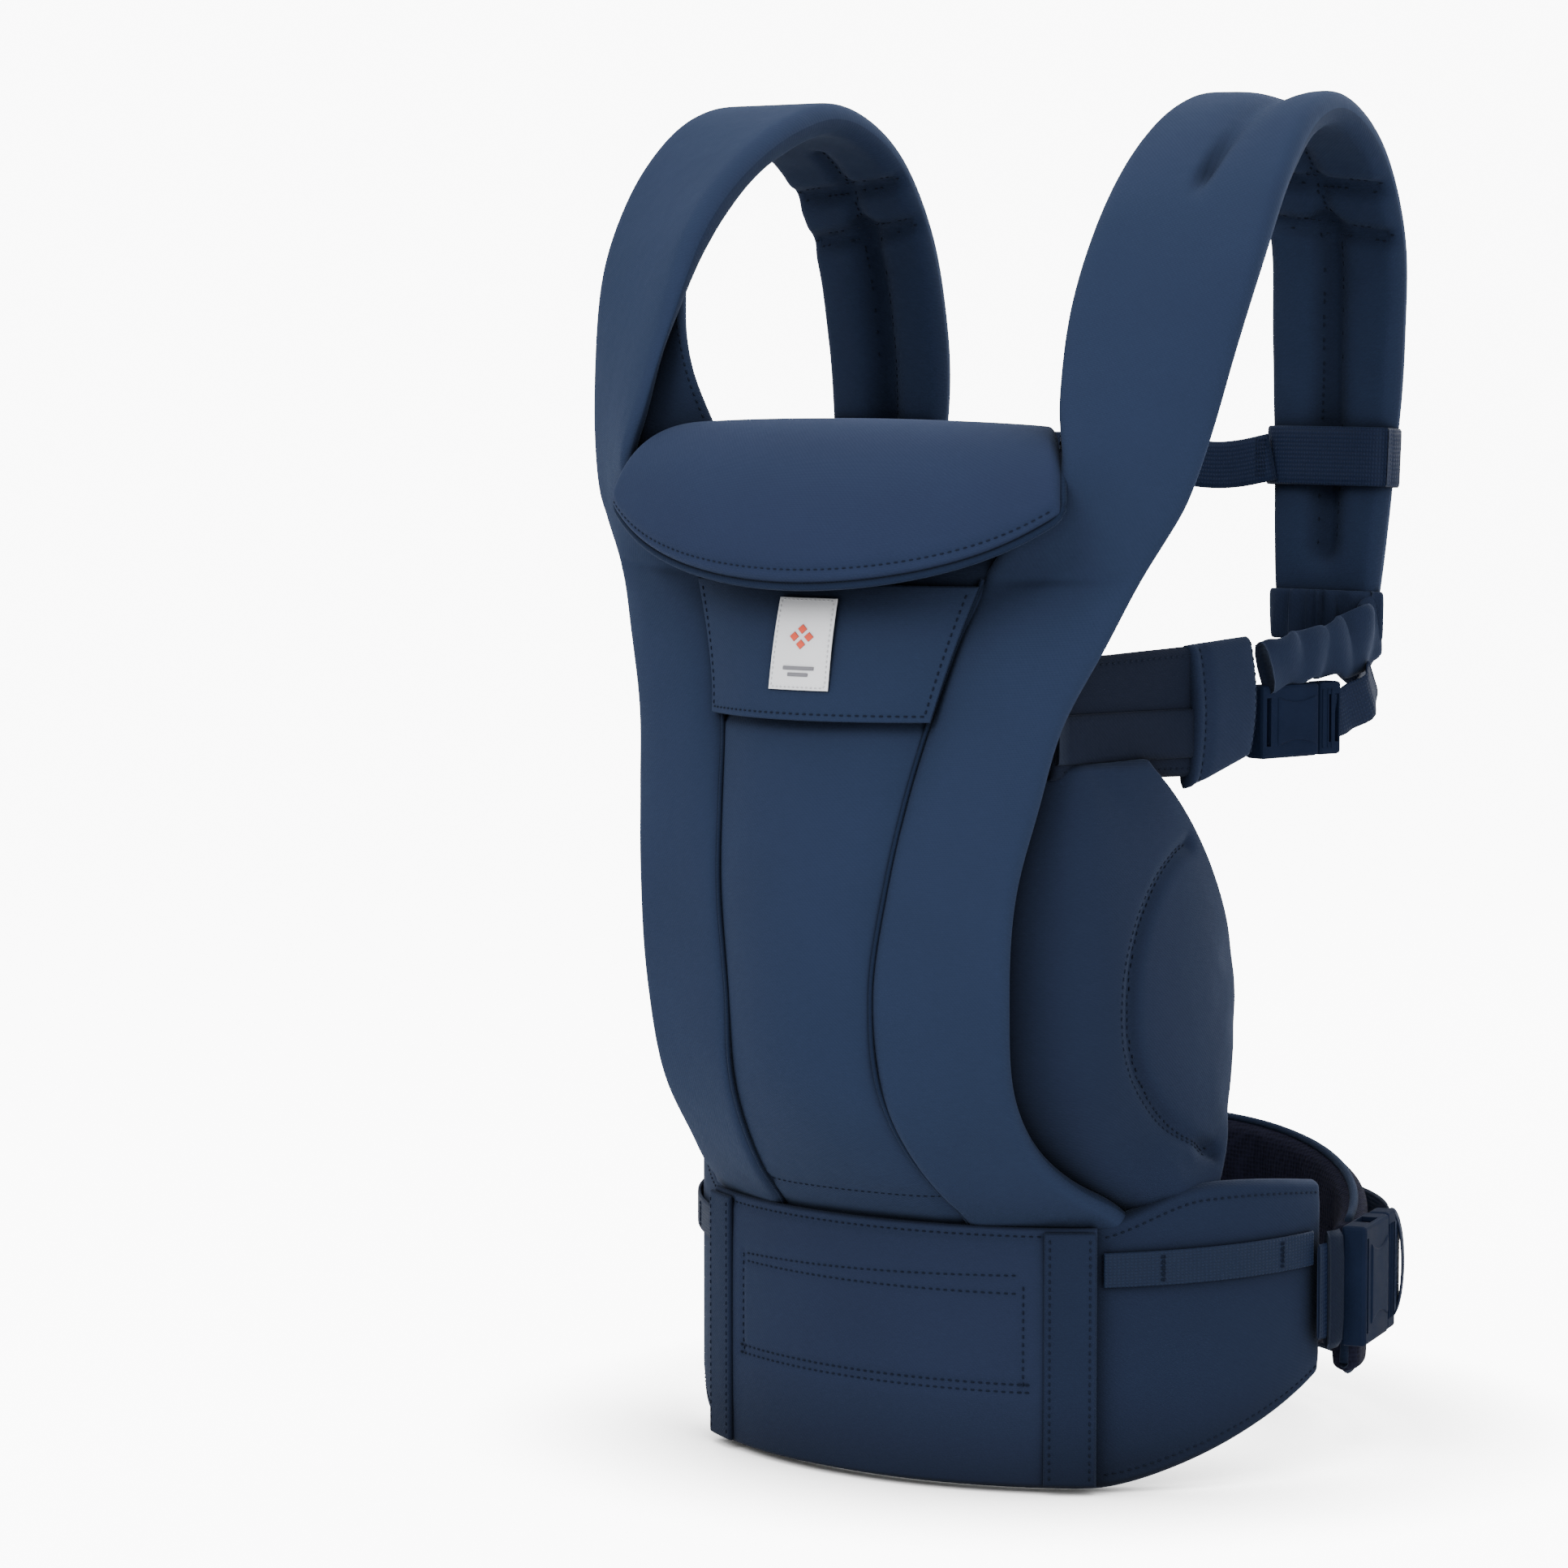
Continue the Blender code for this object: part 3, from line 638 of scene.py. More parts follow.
# ---- the layout's surfaces ----------------------------------------------------------------------
def outline_point(angle, inset=0.0):
    """The belt loop at an angle from straight ahead: an oval front and a round back."""
    side, ahead = math.sin(angle), math.cos(angle)
    half_width = BELT_HALF_WIDTH - inset
    depth = half_width if ahead <= 0 else BELT_FRONT_DEPTH - inset
    return Vector((half_width * side, BELT_CENTRE.y - depth * ahead, 0))


ANGLES = np.linspace(0, math.pi / 2 + 0.5, 400)
TRAVELLED = travelled_along([outline_point(a) for a in ANGLES])


def belt_surface(start, end, bottom, top, inset):
    """A band on the loop between two lengths from the middle of its front. Its bottom and top
    are heights, or give the height at a length."""

    def surface(u, v):
        length = start + (end - start) * u
        angle = math.copysign(np.interp(abs(length), TRAVELLED, ANGLES), length)
        point = outline_point(angle, inset)
        low, high = (edge(length) if callable(edge) else edge for edge in (bottom, top))
        point.z = low + (high - low) * v
        return point

    return surface


def wing_share(length):
    return max(0.0, (abs(length) - COVER_HALF_LENGTH) / (BELT_PAD_HALF_LENGTH - COVER_HALF_LENGTH))


def belt_bottom(length):
    return WING_END_BOTTOM * wing_share(length) ** 1.4


def belt_top(length):
    share = min(1.0, wing_share(length))
    rise = (WING_END_TOP - BELT_HEIGHT) * smooth(share * 2.4)
    return BELT_HEIGHT + rise + 0.006 * math.sin(math.pi * share)


def around(degrees):
    """The direction from the loop's centre at an angle from +X."""
    angle = math.radians(degrees)
    return Vector((math.cos(angle), math.sin(angle), 0))


def arc_surface(start, end, radius, bottom, top):
    """A band on the round back of the loop, between two angles from +X."""

    def surface(u, v):
        out = around(start + (end - start) * u) * radius
        return BELT_CENTRE + out + UP * (bottom + (top - bottom) * v)

    return surface


def waist_point(degrees, proud=0.0, height=0.0):
    """A place on the waist webbing's run, moved outwards and upwards."""
    out = around(degrees) * (WAIST_WEB_RADIUS + proud)
    return BELT_CENTRE + out + UP * (WAIST_WEB_HEIGHT + height)


def waist_run(start, end, count, proud=0.0, bulge=0.0):
    """Points of a band along the waist webbing's run, between two angles from +X."""
    return [waist_point(start + (end - start) * t, proud + bulge * math.sin(math.pi * t))
            for t in np.linspace(0, 1, count)]


def panel_point(height, x, proud=0.0):
    """A point on the body panel's front at this height and x, moved outwards by proud."""
    _, front, seam_x, seam_y, edge, edge_y = interpolate(PANEL_STATIONS, height)
    if abs(x) <= seam_x:
        share = abs(x) / seam_x
        y = front + (seam_y - front) * share**2
        slope = 2 * (seam_y - front) * share / seam_x
    else:
        share = (abs(x) - seam_x) / (edge - seam_x)
        y = seam_y + (edge_y - seam_y) * share
        slope = (edge_y - seam_y) / (edge - seam_x)
    normal = Vector((math.copysign(slope, x), -1, 0)).normalized()
    return Vector((x, y, height)) + normal * proud


def panel_surface(u, v):
    height = PANEL_LOW + (PANEL_TOP_HEIGHT - PANEL_LOW) * v
    low = min(height, PANEL_HIGH)
    rise = max(0.0, height - PANEL_HIGH) / (PANEL_TOP_HEIGHT - PANEL_HIGH)
    half = interpolate(PANEL_STATIONS, low)[2] + PANEL_LAP + PANEL_TOP_FLARE * rise
    point = panel_point(low, half * max(-1, min(1, 2 * u - 1)), PANEL_LAP / -4)
    lean = rise**1.3 * (1 - 0.5 * abs(2 * u - 1))
    point.y += (PANEL_TOP_FRONT_Y - PANEL_STATIONS[-1][1]) * lean
    point.z = height
    return point


STRAP_TABLE = [(i, *row) for i, row in enumerate(STRAP_PATH)]


def strap_frame(at):
    """The strap's centre, width direction, tangent and width at a path position, in points."""
    _, x, y, z, turn, width = interpolate(STRAP_TABLE, at)
    ahead, behind = (interpolate(STRAP_TABLE, at + d) for d in (0.05, -0.05))
    tangent = Vector(ahead[1:4] - behind[1:4]).normalized()
    across = around(turn)
    across = (across - tangent * across.dot(tangent)).normalized()
    return Vector((x, y, z)), across, tangent, width


def run_position(height):
    """The path position where the strap's rear run is at this height."""
    positions = np.linspace(len(STRAP_PATH) - 2, len(STRAP_PATH) - 1, 200)
    return min(positions, key=lambda at: abs(interpolate(STRAP_TABLE, at)[3] - height))


def strap_sections():
    """Inner and outer edge of the side band and the strap above it, one row per section."""
    rows = [(seam_x, seam_y, height, edge, edge_y, height)
            for height, _, seam_x, seam_y, edge, edge_y in PANEL_STATIONS]
    rows.append((0.108, -0.198, 0.491, 0.170, -0.160, 0.491))
    for at in range(1, len(STRAP_PATH)):
        centre, across, _, width = strap_frame(at)
        rows.append((*(centre - across * width / 2), *(centre + across * width / 2)))
    middles = [[(r[k] + r[k + 3]) / 2 for k in range(3)] for r in rows]
    return [(t, *row) for t, row in zip(travelled_along(middles), rows)]


SECTIONS = strap_sections()
STRAP_LENGTH = SECTIONS[-1][0]


def strap_edges(share):
    row = interpolate(SECTIONS, clamp(share) * STRAP_LENGTH)
    extra = (share - clamp(share)) * STRAP_LENGTH
    inner, outer = Vector(row[1:4]), Vector(row[4:7])
    if extra:
        near = interpolate(SECTIONS, (0.999 if share > 1 else 0.001) * STRAP_LENGTH)
        way = (inner - Vector(near[1:4])).normalized() * abs(extra)
        inner, outer = inner + way, outer + way
    return inner, outer


def strap_surface(u, v):
    """The whole strap, from the belt (v 0) to its rear end (v 1); u runs outwards."""
    inner, outer = strap_edges(v)
    return inner.lerp(outer, -STRAP_MARGIN + (1 + 2 * STRAP_MARGIN) * u)


def strap_share(height, rear=False):
    """The strap's v where its middle is at this height, on its front or its rear run."""
    crest = max(range(0, 401), key=lambda k: strap_surface(0.5, k / 400).z) / 400
    shares = np.linspace(crest, 1, 300) if rear else np.linspace(0, crest, 300)
    return min(shares, key=lambda v: abs(strap_surface(0.5, v).z - height))


def leg_rear_y(height):
    bend = 5.0 if height > LEG_WIDEST else 1.8
    return -0.044 - bend * (height - LEG_WIDEST) ** 2 - 0.022 * smooth((0.182 - height) / 0.043)


def leg_surface(u, v):
    """The leg pad, from under the side band (u 0) to the leg opening (u 1)."""
    height = LEG_LOW + (LEG_HIGH - LEG_LOW) * v
    edge, edge_y = interpolate(PANEL_STATIONS, height)[4:6]
    hidden = Vector((edge - 0.030, edge_y + 0.014, height))
    front = Vector((edge - 0.004, edge_y + 0.022, height))
    rear = Vector((0.141 + 0.014 * smooth((0.190 - height) / 0.05), leg_rear_y(height), height))
    belly = 0.024 * math.sin(math.pi * clamp(u) ** 0.7)
    swell = math.sin(math.pi * np.clip((height - LEG_LOW + 0.03) / 0.27, 0, 1))
    share = (u - LEG_HIDDEN) / (1 - LEG_HIDDEN)
    if share < 0:
        return front.lerp(hidden, -share * (1 - LEG_HIDDEN) / LEG_HIDDEN)
    return front.lerp(rear, share) + Vector((belly * swell * smooth(share * 8), 0, 0))


def leg_seam(before):
    """Points just off the leg pad along its crescent's seam, or a share of its width before it."""
    places = []
    for height in np.linspace(0.1685, 0.3315, 60):
        share = 0.96 - 0.69 * math.sqrt(max(0.0, 1 - ((height - 0.250) / 0.083) ** 2))
        u = LEG_HIDDEN + (1 - LEG_HIDDEN) * share - before
        places.append((u, (height - LEG_LOW) / (LEG_HIGH - LEG_LOW)))
    return lifted(leg_surface, places, 0.007)


def head_surface(u, v):
    """The fold-over pad, from its fold at the top (v 1) to its free lower edge (v 0)."""
    s = 2 * u - 1
    t = (1 - v) * (1 - 0.10 * abs(s) ** 7)
    fold = Vector((0.103 * s, -0.152 - 0.006 * s * s, 0.5365))
    crown = Vector((0.134 * s, -0.228 + 0.029 * s * s, 0.553 - 0.010 * s * s))
    free = Vector((0.137 * s, -0.243 + 0.037 * s * s, 0.465 + 0.027 * s * s))
    return fold * (1 - t) ** 2 + crown * 2 * t * (1 - t) + free * t * t + Vector((0.001, 0, 0))


# ---- pieces: each makes its pads, hands them over to be softened, and goes on from there --------
def stand_for(piece, nodes):
    """Hides the CAD nodes that a piece stands for; X_soft stands for the node X."""
    if not nodes and piece.name.endswith("_soft"):
        nodes = [piece.name.removesuffix("_soft")]
    if nodes:
        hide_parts(*nodes)


def keep(piece, body="carrier", nodes=()):
    """Puts a finished piece on its body."""
    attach(piece, body)
    stand_for(piece, nodes)


def keep_pair(piece, body="carrier", nodes=()):
    """Keeps a left-hand piece and its right-hand copy. Names hold 'left' where they differ."""
    other = mirrored(piece)
    keep(piece, body, nodes)
    keep(other, to_right(body), [to_right(node) for node in nodes])


def blended(piece, nodes=()):
    """Keeps a piece in the shared frame, with its transform baked in, and hides the CAD nodes it
    stands for.
    """
    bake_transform(piece)
    stand_for(piece, nodes)


def belt():
    half, cover_half = BELT_PAD_HALF_LENGTH, COVER_HALF_LENGTH
    face = belt_surface(-half, half, belt_bottom, belt_top, BELT_THICKNESS / 2)
    pad = padded("belt_pad_soft", face, BELT_THICKNESS - 0.001, side_cotton_painted_shade, rounding=0.006)
    cover_face = belt_surface(-cover_half, cover_half, 0.003, BELT_HEIGHT - 0.002, -0.0016)
    cover = padded("belt_cover_soft", cover_face, 0.0045, cotton_belt, cell=0.007)
    yield {pad: 0.0012, cover: 0.0012}

    subdivide(pad)
    subdivide(cover, 2)
    # The cover's sewn box: a double line under its top edge, one low down and its two ends.
    lines = []
    for reach, left, right in ((0.085, 0.775, 0.815), (0.085, 0.745, 0.745),
                               (0.092, 0.405, 0.395), (0.092, 0.375, 0.365)):
        share = reach / (2 * cover_half)
        lines.append(((0.5 - share, left), (0.5, (left + right) / 2), (0.5 + share, right)))
    for side in (-1, 1):
        lines.append(upright(0.5 + side * 0.088 / (2 * cover_half), 0.38, 0.78))
    box = sewn("box", cover, cover_face, lines, 0.002, 0.0008, 0.0022)
    top = seam(cover, cover_face, level(0.965, 0.03, 0.97), 0.002, 0.0006, 0.002)
    keep(joined("belt_cover_stitching", [box, top]))
    keep(cover)

    strip_face = belt_surface(cover_half - 0.027, cover_half - 0.001, 0.004, BELT_HEIGHT - 0.004,
                              -0.0052)
    strip = padded("cover_strip_left_soft", strip_face, 0.0034, side_cotton_painted_shade, cell=0.006, levels=1)
    keep_pair(sewn("cover_strip_left_stitching", strip, strip_face,
                   (upright(0.12), upright(0.88)), 0.002))
    keep_pair(strip)

    # The wings: an edge binding all round and the webbing strip with its bar tacks.
    rim = path_on(face, ((0.0, 0.03), (0.0, 0.97), (1.0, 0.97), (1.0, 0.03), (0.0, 0.03)))
    start = (cover_half + 0.004) / (2 * half)
    lines = [level(v, 0.5 + side * start, 0.5 + side * 0.49) for v in (0.06, 0.94)
             for side in (-1, 1)]
    keep(sewn("belt_wing_stitching", pad, face, lines, BELT_THICKNESS / 2, 0.0010, 0.0030))
    keep(cord("belt_binding", rim, 0.0016, piping))
    keep(pad)
    low, high = (lambda s, base=base: base + 0.004 * wing_share(s) for base in (0.106, 0.124))
    loop_face = belt_surface(cover_half + 0.003, half - 0.014, low, high, -0.0018)
    loop = padded("accessory_loop_left_soft", loop_face, 0.0020, belt_webbing, cell=0.006, levels=1)
    tacks = [upright(u + 0.004 * k, 0.10, 0.90) for u in (0.24, 0.80) for k in range(5)]
    keep_pair(sewn("accessory_loop_left_tacks", loop, loop_face, tacks, 0.0016, length=0.0022,
                   gap=0.0002, radius=0.0003))
    keep_pair(loop)


def lumbar():
    def face(u, v):
        point = arc_surface(15.5, 164.5, BELT_HALF_WIDTH - 0.0135, 0, 1)(u, v)
        rise = math.sin(math.pi * clamp(u))
        bottom, top = 0.040 - 0.010 * rise, 0.118 + 0.031 * rise
        point.z = bottom + (top - bottom) * v
        return point

    pad = padded("lumbar_pad_soft", face, 0.015, lining, rounding=0.006)
    yield {pad: 0.004}

    subdivide(pad)
    quilting = [seam(pad, face, level(v, 0.06, 0.94), lift, 0.0022, 0.0045)
                for v in (0.30, 0.70) for lift in (0.0075, -0.0075)]
    keep(joined("lumbar_stitching", quilting), "lumbar_pad")
    rim = path_on(face, ((0.0, 0.06), (0.02, 1.0), (0.98, 1.0), (1.0, 0.06), (0.98, 0.0),
                         (0.02, 0.0), (0.0, 0.06)))
    keep(cord("lumbar_binding", rim, 0.0024, piping), "lumbar_pad")
    keep(pad, "lumbar_pad")
    for side, angle in (("left", 70), ("right", 110)):
        loop_face = arc_surface(angle - 4, angle + 4, WAIST_WEB_RADIUS + 0.0035,
                                WAIST_WEB_HEIGHT - 0.035, WAIST_WEB_HEIGHT + 0.035)
        loop = padded(f"lumbar_loop_{side}_soft", loop_face, 0.0022, webbing, cell=0.006, levels=1)
        tacks = [level(v, 0.1, 0.9) for v in (0.05, 0.08, 0.92, 0.95)]
        keep(sewn(f"lumbar_loop_{side}_tacks", loop, loop_face, tacks, 0.0012, length=0.002,
                  gap=0.0003), "lumbar_pad")
        keep(loop, "lumbar_pad")


def panel():
    face = panel_surface
    pad = padded("main_panel_soft", face, PANEL_THICKNESS, cotton, rounding=0.003)
    yield {pad: 0.0030}

    subdivide(pad)
    keep(seam(pad, face, level(0.060, 0.03, 0.97), 0.0035, 0.0010, 0.0028, name="panel_stitching"))
    slit = (SLIT_HEIGHT - PANEL_LOW) / (PANEL_TOP_HEIGHT - PANEL_LOW)
    groove(pad, path_on(face, level(slit, 0.0, 1.0), 0.0035), 0.0028, 0.0028)
    keep(pad)

    # The corded seams between the panel and its side bands.
    edge = []
    for height in np.linspace(PANEL_LOW, PANEL_HIGH, 60):
        x, y = interpolate(PANEL_STATIONS, height)[2:4]
        edge.append(Vector((x, y - 0.0042, height)))
    keep_pair(cord("panel_seam_left_cord", edge, 0.0012, piping))

    def patch_face(u, v):
        height = SLIT_HEIGHT + 0.0005 + 0.068 * v
        half = interpolate(PANEL_STATIONS, height)[2] - 0.0015
        stand_off = 0.0024 + 0.0028 * (1 - clamp(v)) ** 3
        return panel_point(height, half * (2 * clamp(u) - 1), PANEL_THICKNESS / 2 + stand_off)

    patch = padded("upper_patch_soft", patch_face, 0.0022, cotton, cell=0.006, levels=2)
    hem = (level(0.045, 0.02, 0.98), upright(0.025, 0.05, 0.95), upright(0.975, 0.05, 0.95))
    keep(sewn("upper_patch_stitching", patch, patch_face, hem, 0.0012))
    keep(patch)
    label()


def label():
    """The woven label, with a plain motif of four small diamonds over two bars."""
    width, low, high = 0.033, 0.4115, 0.4575
    mark_scale = 0.049           # metres of a mark's height for the whole of v
    diamond = 0.0052

    def face(u, v, proud=0.0026):
        height = low + (high - low) * v
        return panel_point(height, width / 2 * (2 * u - 1), PANEL_THICKNESS / 2 + 0.0030 + proud)

    def mark(u, v, shape, material):
        """Raised thread about (u, v); shape(a, b) gives x and z from there, in metres."""
        def surface(a, b):
            x, z = shape(a, b)
            return face(u + x / width, v + z / mark_scale, 0.0033)
        return padded("mark", surface, 0.0006, material, cell=0.002)

    piece = padded("woven_label_soft", face, 0.0010, label_white, cell=0.004, levels=1)
    edge = ((0.05, 0.03), (0.95, 0.03), (0.95, 0.97), (0.05, 0.97), (0.05, 0.03))
    keep(seam(piece, face, edge, 0.0006, name="label_stitching", cloth=label_white, length=0.0016,
              gap=0.0010, radius=0.00022))
    marks = [mark(0.5 + x * diamond * 0.78 / width, 0.58 + z * diamond * 0.78 / mark_scale,
                  lambda a, b: ((a - b) * diamond / 2, (a + b - 1) * diamond / 2), motif_coral)
             for x, z in ((0, 1), (1, 0), (0, -1), (-1, 0))]
    marks += [mark(0.5, v, lambda a, b, long=long: ((a - 0.5) * long, (b - 0.5) * 0.0018),
                   motif_grey) for v, long in ((0.24, 0.017), (0.17, 0.011))]
    keep(joined("label_motif", marks))
    keep(piece)


def straps():
    padding_start, chest_ring = strap_share(0.555), strap_share(CHEST_HEIGHT, True)

    def shape(v):
        # Thin where it is sewn to the belt and the panel, full over the shoulder.
        full = smooth((v - padding_start) / 0.10)
        full *= 1 - 0.30 * math.exp(-(((v - chest_ring) / 0.018) ** 2))
        full *= 1 - 0.45 * smooth((v - 0.962) / 0.03)
        thin = 1 - 0.35 * smooth((v - 0.30) / 0.08)
        return (BAND_THICKNESS * thin * (1 - full) + STRAP_THICKNESS * full) / STRAP_THICKNESS

    face, half = strap_surface, STRAP_THICKNESS / 2
    # The strap's inner face gets the darker copy of the cloth: painted shade.
    strap = padded("strap_left_soft", face, STRAP_THICKNESS, cotton, rounding=0.008, shape=shape,
                   back_cloth=inside_strap_painted_shade)
    first, second = strap_share(0.674, True), strap_share(0.649, True)
    hold(strap, path_on(face, upright(0.5, 0.66, 0.97), -half, 0.004), 0.006)
    for v in (first, second):
        hold(strap, path_on(face, level(v, 0, 1), -half, 0.004), 0.005)
    yield {strap: 0.0045}

    subdivide(strap, 2)
    # The faint seam where the strap is sewn to the side band, and the inner side's quilting.
    sewn_on = strap_share(0.470)
    groove(strap, path_on(face, level(sewn_on, 0.04, 0.96), BAND_THICKNESS / 2), 0.0010, 0.0022)
    quilting = [seam(strap, face, line, -half, depth, width) for line, depth, width in (
        (((0.03, first), (0.97, first + 0.006)), 0.0060, 0.0050),
        (((0.03, second), (0.97, second + 0.006)), 0.0060, 0.0050),
        (((0.48, second + 0.004), (0.5, 0.955)), 0.0095, 0.0080),
        (((0.48, first - 0.03), (0.48, second)), 0.0040, 0.0050))]
    stitching = joined("strap_left_stitching", quilting)
    pieces = [strap, mirrored(strap), stitching, mirrored(stitching)]
    # As it stands, the left strap is creased lengthwise over the shoulder.
    low, crest = strap_share(0.648), strap_share(0.704)
    crease = path_on(face, ((0.50, low), (0.56, (low + crest) / 2), (0.60, crest),
                            (0.62, crest + 0.06)), half)
    groove(strap, crease, 0.0050, 0.0120,
           fade=lambda t: smooth(t * 2.2) * (1 - smooth(t * 2.5 - 1.5)))
    groove(strap, crease, 0.0080, 0.0034, fade=lambda t: smooth(t * 6) * (1 - smooth(t * 3 - 2)))
    for piece, side in zip(pieces, ("left", "right", None, None)):
        nodes = [f"strap_front_{side}", f"strap_rear_{side}", f"side_band_{side}"] if side else ()
        blended(piece, nodes)


def gusset():
    contour = [(0.098, -0.146, 0.512), (0.106, -0.152, 0.537), (0.115, -0.160, 0.566),
               (0.1215, -0.160, 0.590), (0.129, -0.153, 0.614), (0.137, -0.143, 0.640)]
    table = [(k / (len(contour) - 1), *row) for k, row in enumerate(contour)]

    def face(u, v):
        inner = Vector(interpolate(table, v)[1:4])
        centre, across, tangent, width = strap_frame(0.75 + 3.2 * v)
        behind = across.cross(tangent).normalized()
        behind = behind if behind.y > 0 else -behind
        outer = centre + behind * (STRAP_THICKNESS / 2 - 0.004) - across * width * 0.22
        return outer.lerp(inner, u)

    # The gusset's inner face gets the darker copy of the cloth: painted shade.
    pad = padded("strap_gusset_left_soft", face, 0.008, cotton, cell=0.006, rounding=0.004,
                 back_cloth=inside_strap_painted_shade)
    yield {pad: 0.0030}

    subdivide(pad)
    keep_pair(seam(pad, face, upright(0.90), -0.0045, name="strap_gusset_left_stitching"))
    keep_pair(pad)


def leg_pads():
    pad = padded("leg_pad_left_soft", leg_surface, 0.014, side_cotton_painted_shade, rounding=0.006)
    yield {pad: 0.0050}

    subdivide(pad, 2)
    groove(pad, leg_seam(0.0), 0.0042, 0.0042)
    lines = [stitches(pad, leg_seam(before)) for before in (0.0, 0.036)]
    keep_pair(joined("leg_pad_left_stitching", lines))
    keep_pair(pad, nodes=("leg_pad_left", "leg_insert_left"))


def side_wings():
    start, end = Vector((0.117, -0.183, 0)), Vector((0.152, -0.045, 0))

    def wing_face(u, v):
        low, high = 0.368 - 0.004 * u, 0.428 + 0.004 * u
        return start.lerp(end, 0.78 * u) + UP * (low + (high - low) * v)

    def sleeve_face(u, v):
        low, high = 0.358 + 0.016 * u, 0.432 + 0.003 * u
        sag = Vector((0.004 * math.sin(math.pi * clamp(v)), 0, low + (high - low) * v))
        return start.lerp(end, 0.66 + 0.32 * u) + sag

    wing = padded("side_wing_left_soft", wing_face, 0.008, inner_lining, cell=0.007, levels=1)
    sleeve = padded("wing_sleeve_left_soft", sleeve_face, 0.013, side_cotton_painted_shade, cell=0.006,
                    rounding=0.005)
    yield {sleeve: 0.0030}

    subdivide(sleeve)
    band = [wing_face(u, 0.34) + Vector((0.0048, 0, 0)) for u in np.linspace(0, 0.92, 14)]
    keep_pair(swept("wing_webbing_left", band, UP, STRAP_WEB, 0.0032, inner_lining, corner=0.35))
    keep_pair(sewn("side_wing_left_stitching", wing, wing_face,
                   (level(0.07, 0.05, 0.98), level(0.93, 0.05, 0.98)), 0.004))
    ends = [seam(sleeve, sleeve_face, upright(0.16), 0.0065, 0.002, 0.003),
            seam(sleeve, sleeve_face, upright(0.93, 0.04, 0.96), 0.0065)]
    keep_pair(joined("wing_sleeve_left_stitching", ends))
    keep_pair(wing)
    keep_pair(sleeve)


def head_support():
    pad = padded("head_support_soft", head_surface, 0.0125, cotton_light, cell=0.009,
                 rounding=0.006)
    yield {pad: 0.0050}

    subdivide(pad, 2)
    # The piping goes round the free edge and some way up both ends.
    ends = [(0.0, v) for v in np.linspace(0.55, 0.02, 16)]
    across = np.linspace(0.015, 0.985, 60)
    rim = [*ends, *[(u, 0.0) for u in across], *[(1 - u, v) for u, v in reversed(ends)]]
    edge = [head_surface(u, v) - UP * 0.0012 for u, v in rim]
    keep(cord("head_piping_outer", edge, 0.0021, piping), "head_support",
         ["head_support_piping"])
    line = lifted(head_surface, [(u, 0.038) for u in across], 0.005)
    groove(pad, line, 0.0014, 0.0022)
    keep(stitches(pad, line, "head_stitching", radius=0.0003), "head_support")
    blended(pad,
            ["head_support_pad"])


def neck_roll():
    edge = [Vector((x, -0.150, 0.5225 + 0.002 * math.cos(x * 40)))
            for x in np.linspace(-0.092, 0.092, 30)]
    keep(cord("neck_roll_soft", edge, 0.0065, inner_lining))


def ring(name, at, clearance, height, material, thickness=WEB_THICKNESS, corner=0.45):
    """A flat band sewn into a loop round the strap at a path position."""
    centre, across, tangent, width = strap_frame(at)
    out = tangent.cross(across)
    half_width = (width + clearance + thickness) / 2
    half_depth = (STRAP_THICKNESS + clearance + thickness) / 2
    points = []
    for k in range(73):
        side, depth = squared_circle(2 * math.pi * k / 72 + 0.3, corner)
        points.append(centre + across * (side * half_width) + out * (depth * half_depth))
    return swept(name, resample(points, 0.004), tangent, height, thickness, material, corner=0.35)


def wavy(points, swing, turns, direction):
    """Points of a slack band, pushed to and fro along a direction."""
    line = resample(points, 0.003)
    last = len(line) - 1
    return [p + Vector(direction) * swing * math.sin(turns * 2 * math.pi * k / last)
            * math.sin(math.pi * k / last) for k, p in enumerate(line)]


def gather(piece, middle, depth):
    """Soft upright folds round a piece, about a middle line parallel to Z."""
    places = coordinates(piece.data)
    centre = np.array(middle + LOOP_PLACE)
    away = places[:, :2] - centre[:2]
    angle = np.arctan2(away[:, 1], away[:, 0])
    ripple = np.sin(angle * 13 + 60 * (places[:, 2] - centre[2])) + 0.6 * np.sin(angle * 23 + 1.0)
    places[:, :2] += away / np.linalg.norm(away, axis=1)[:, None] * (ripple * depth)[:, None]
    set_coordinates(piece.data, places)


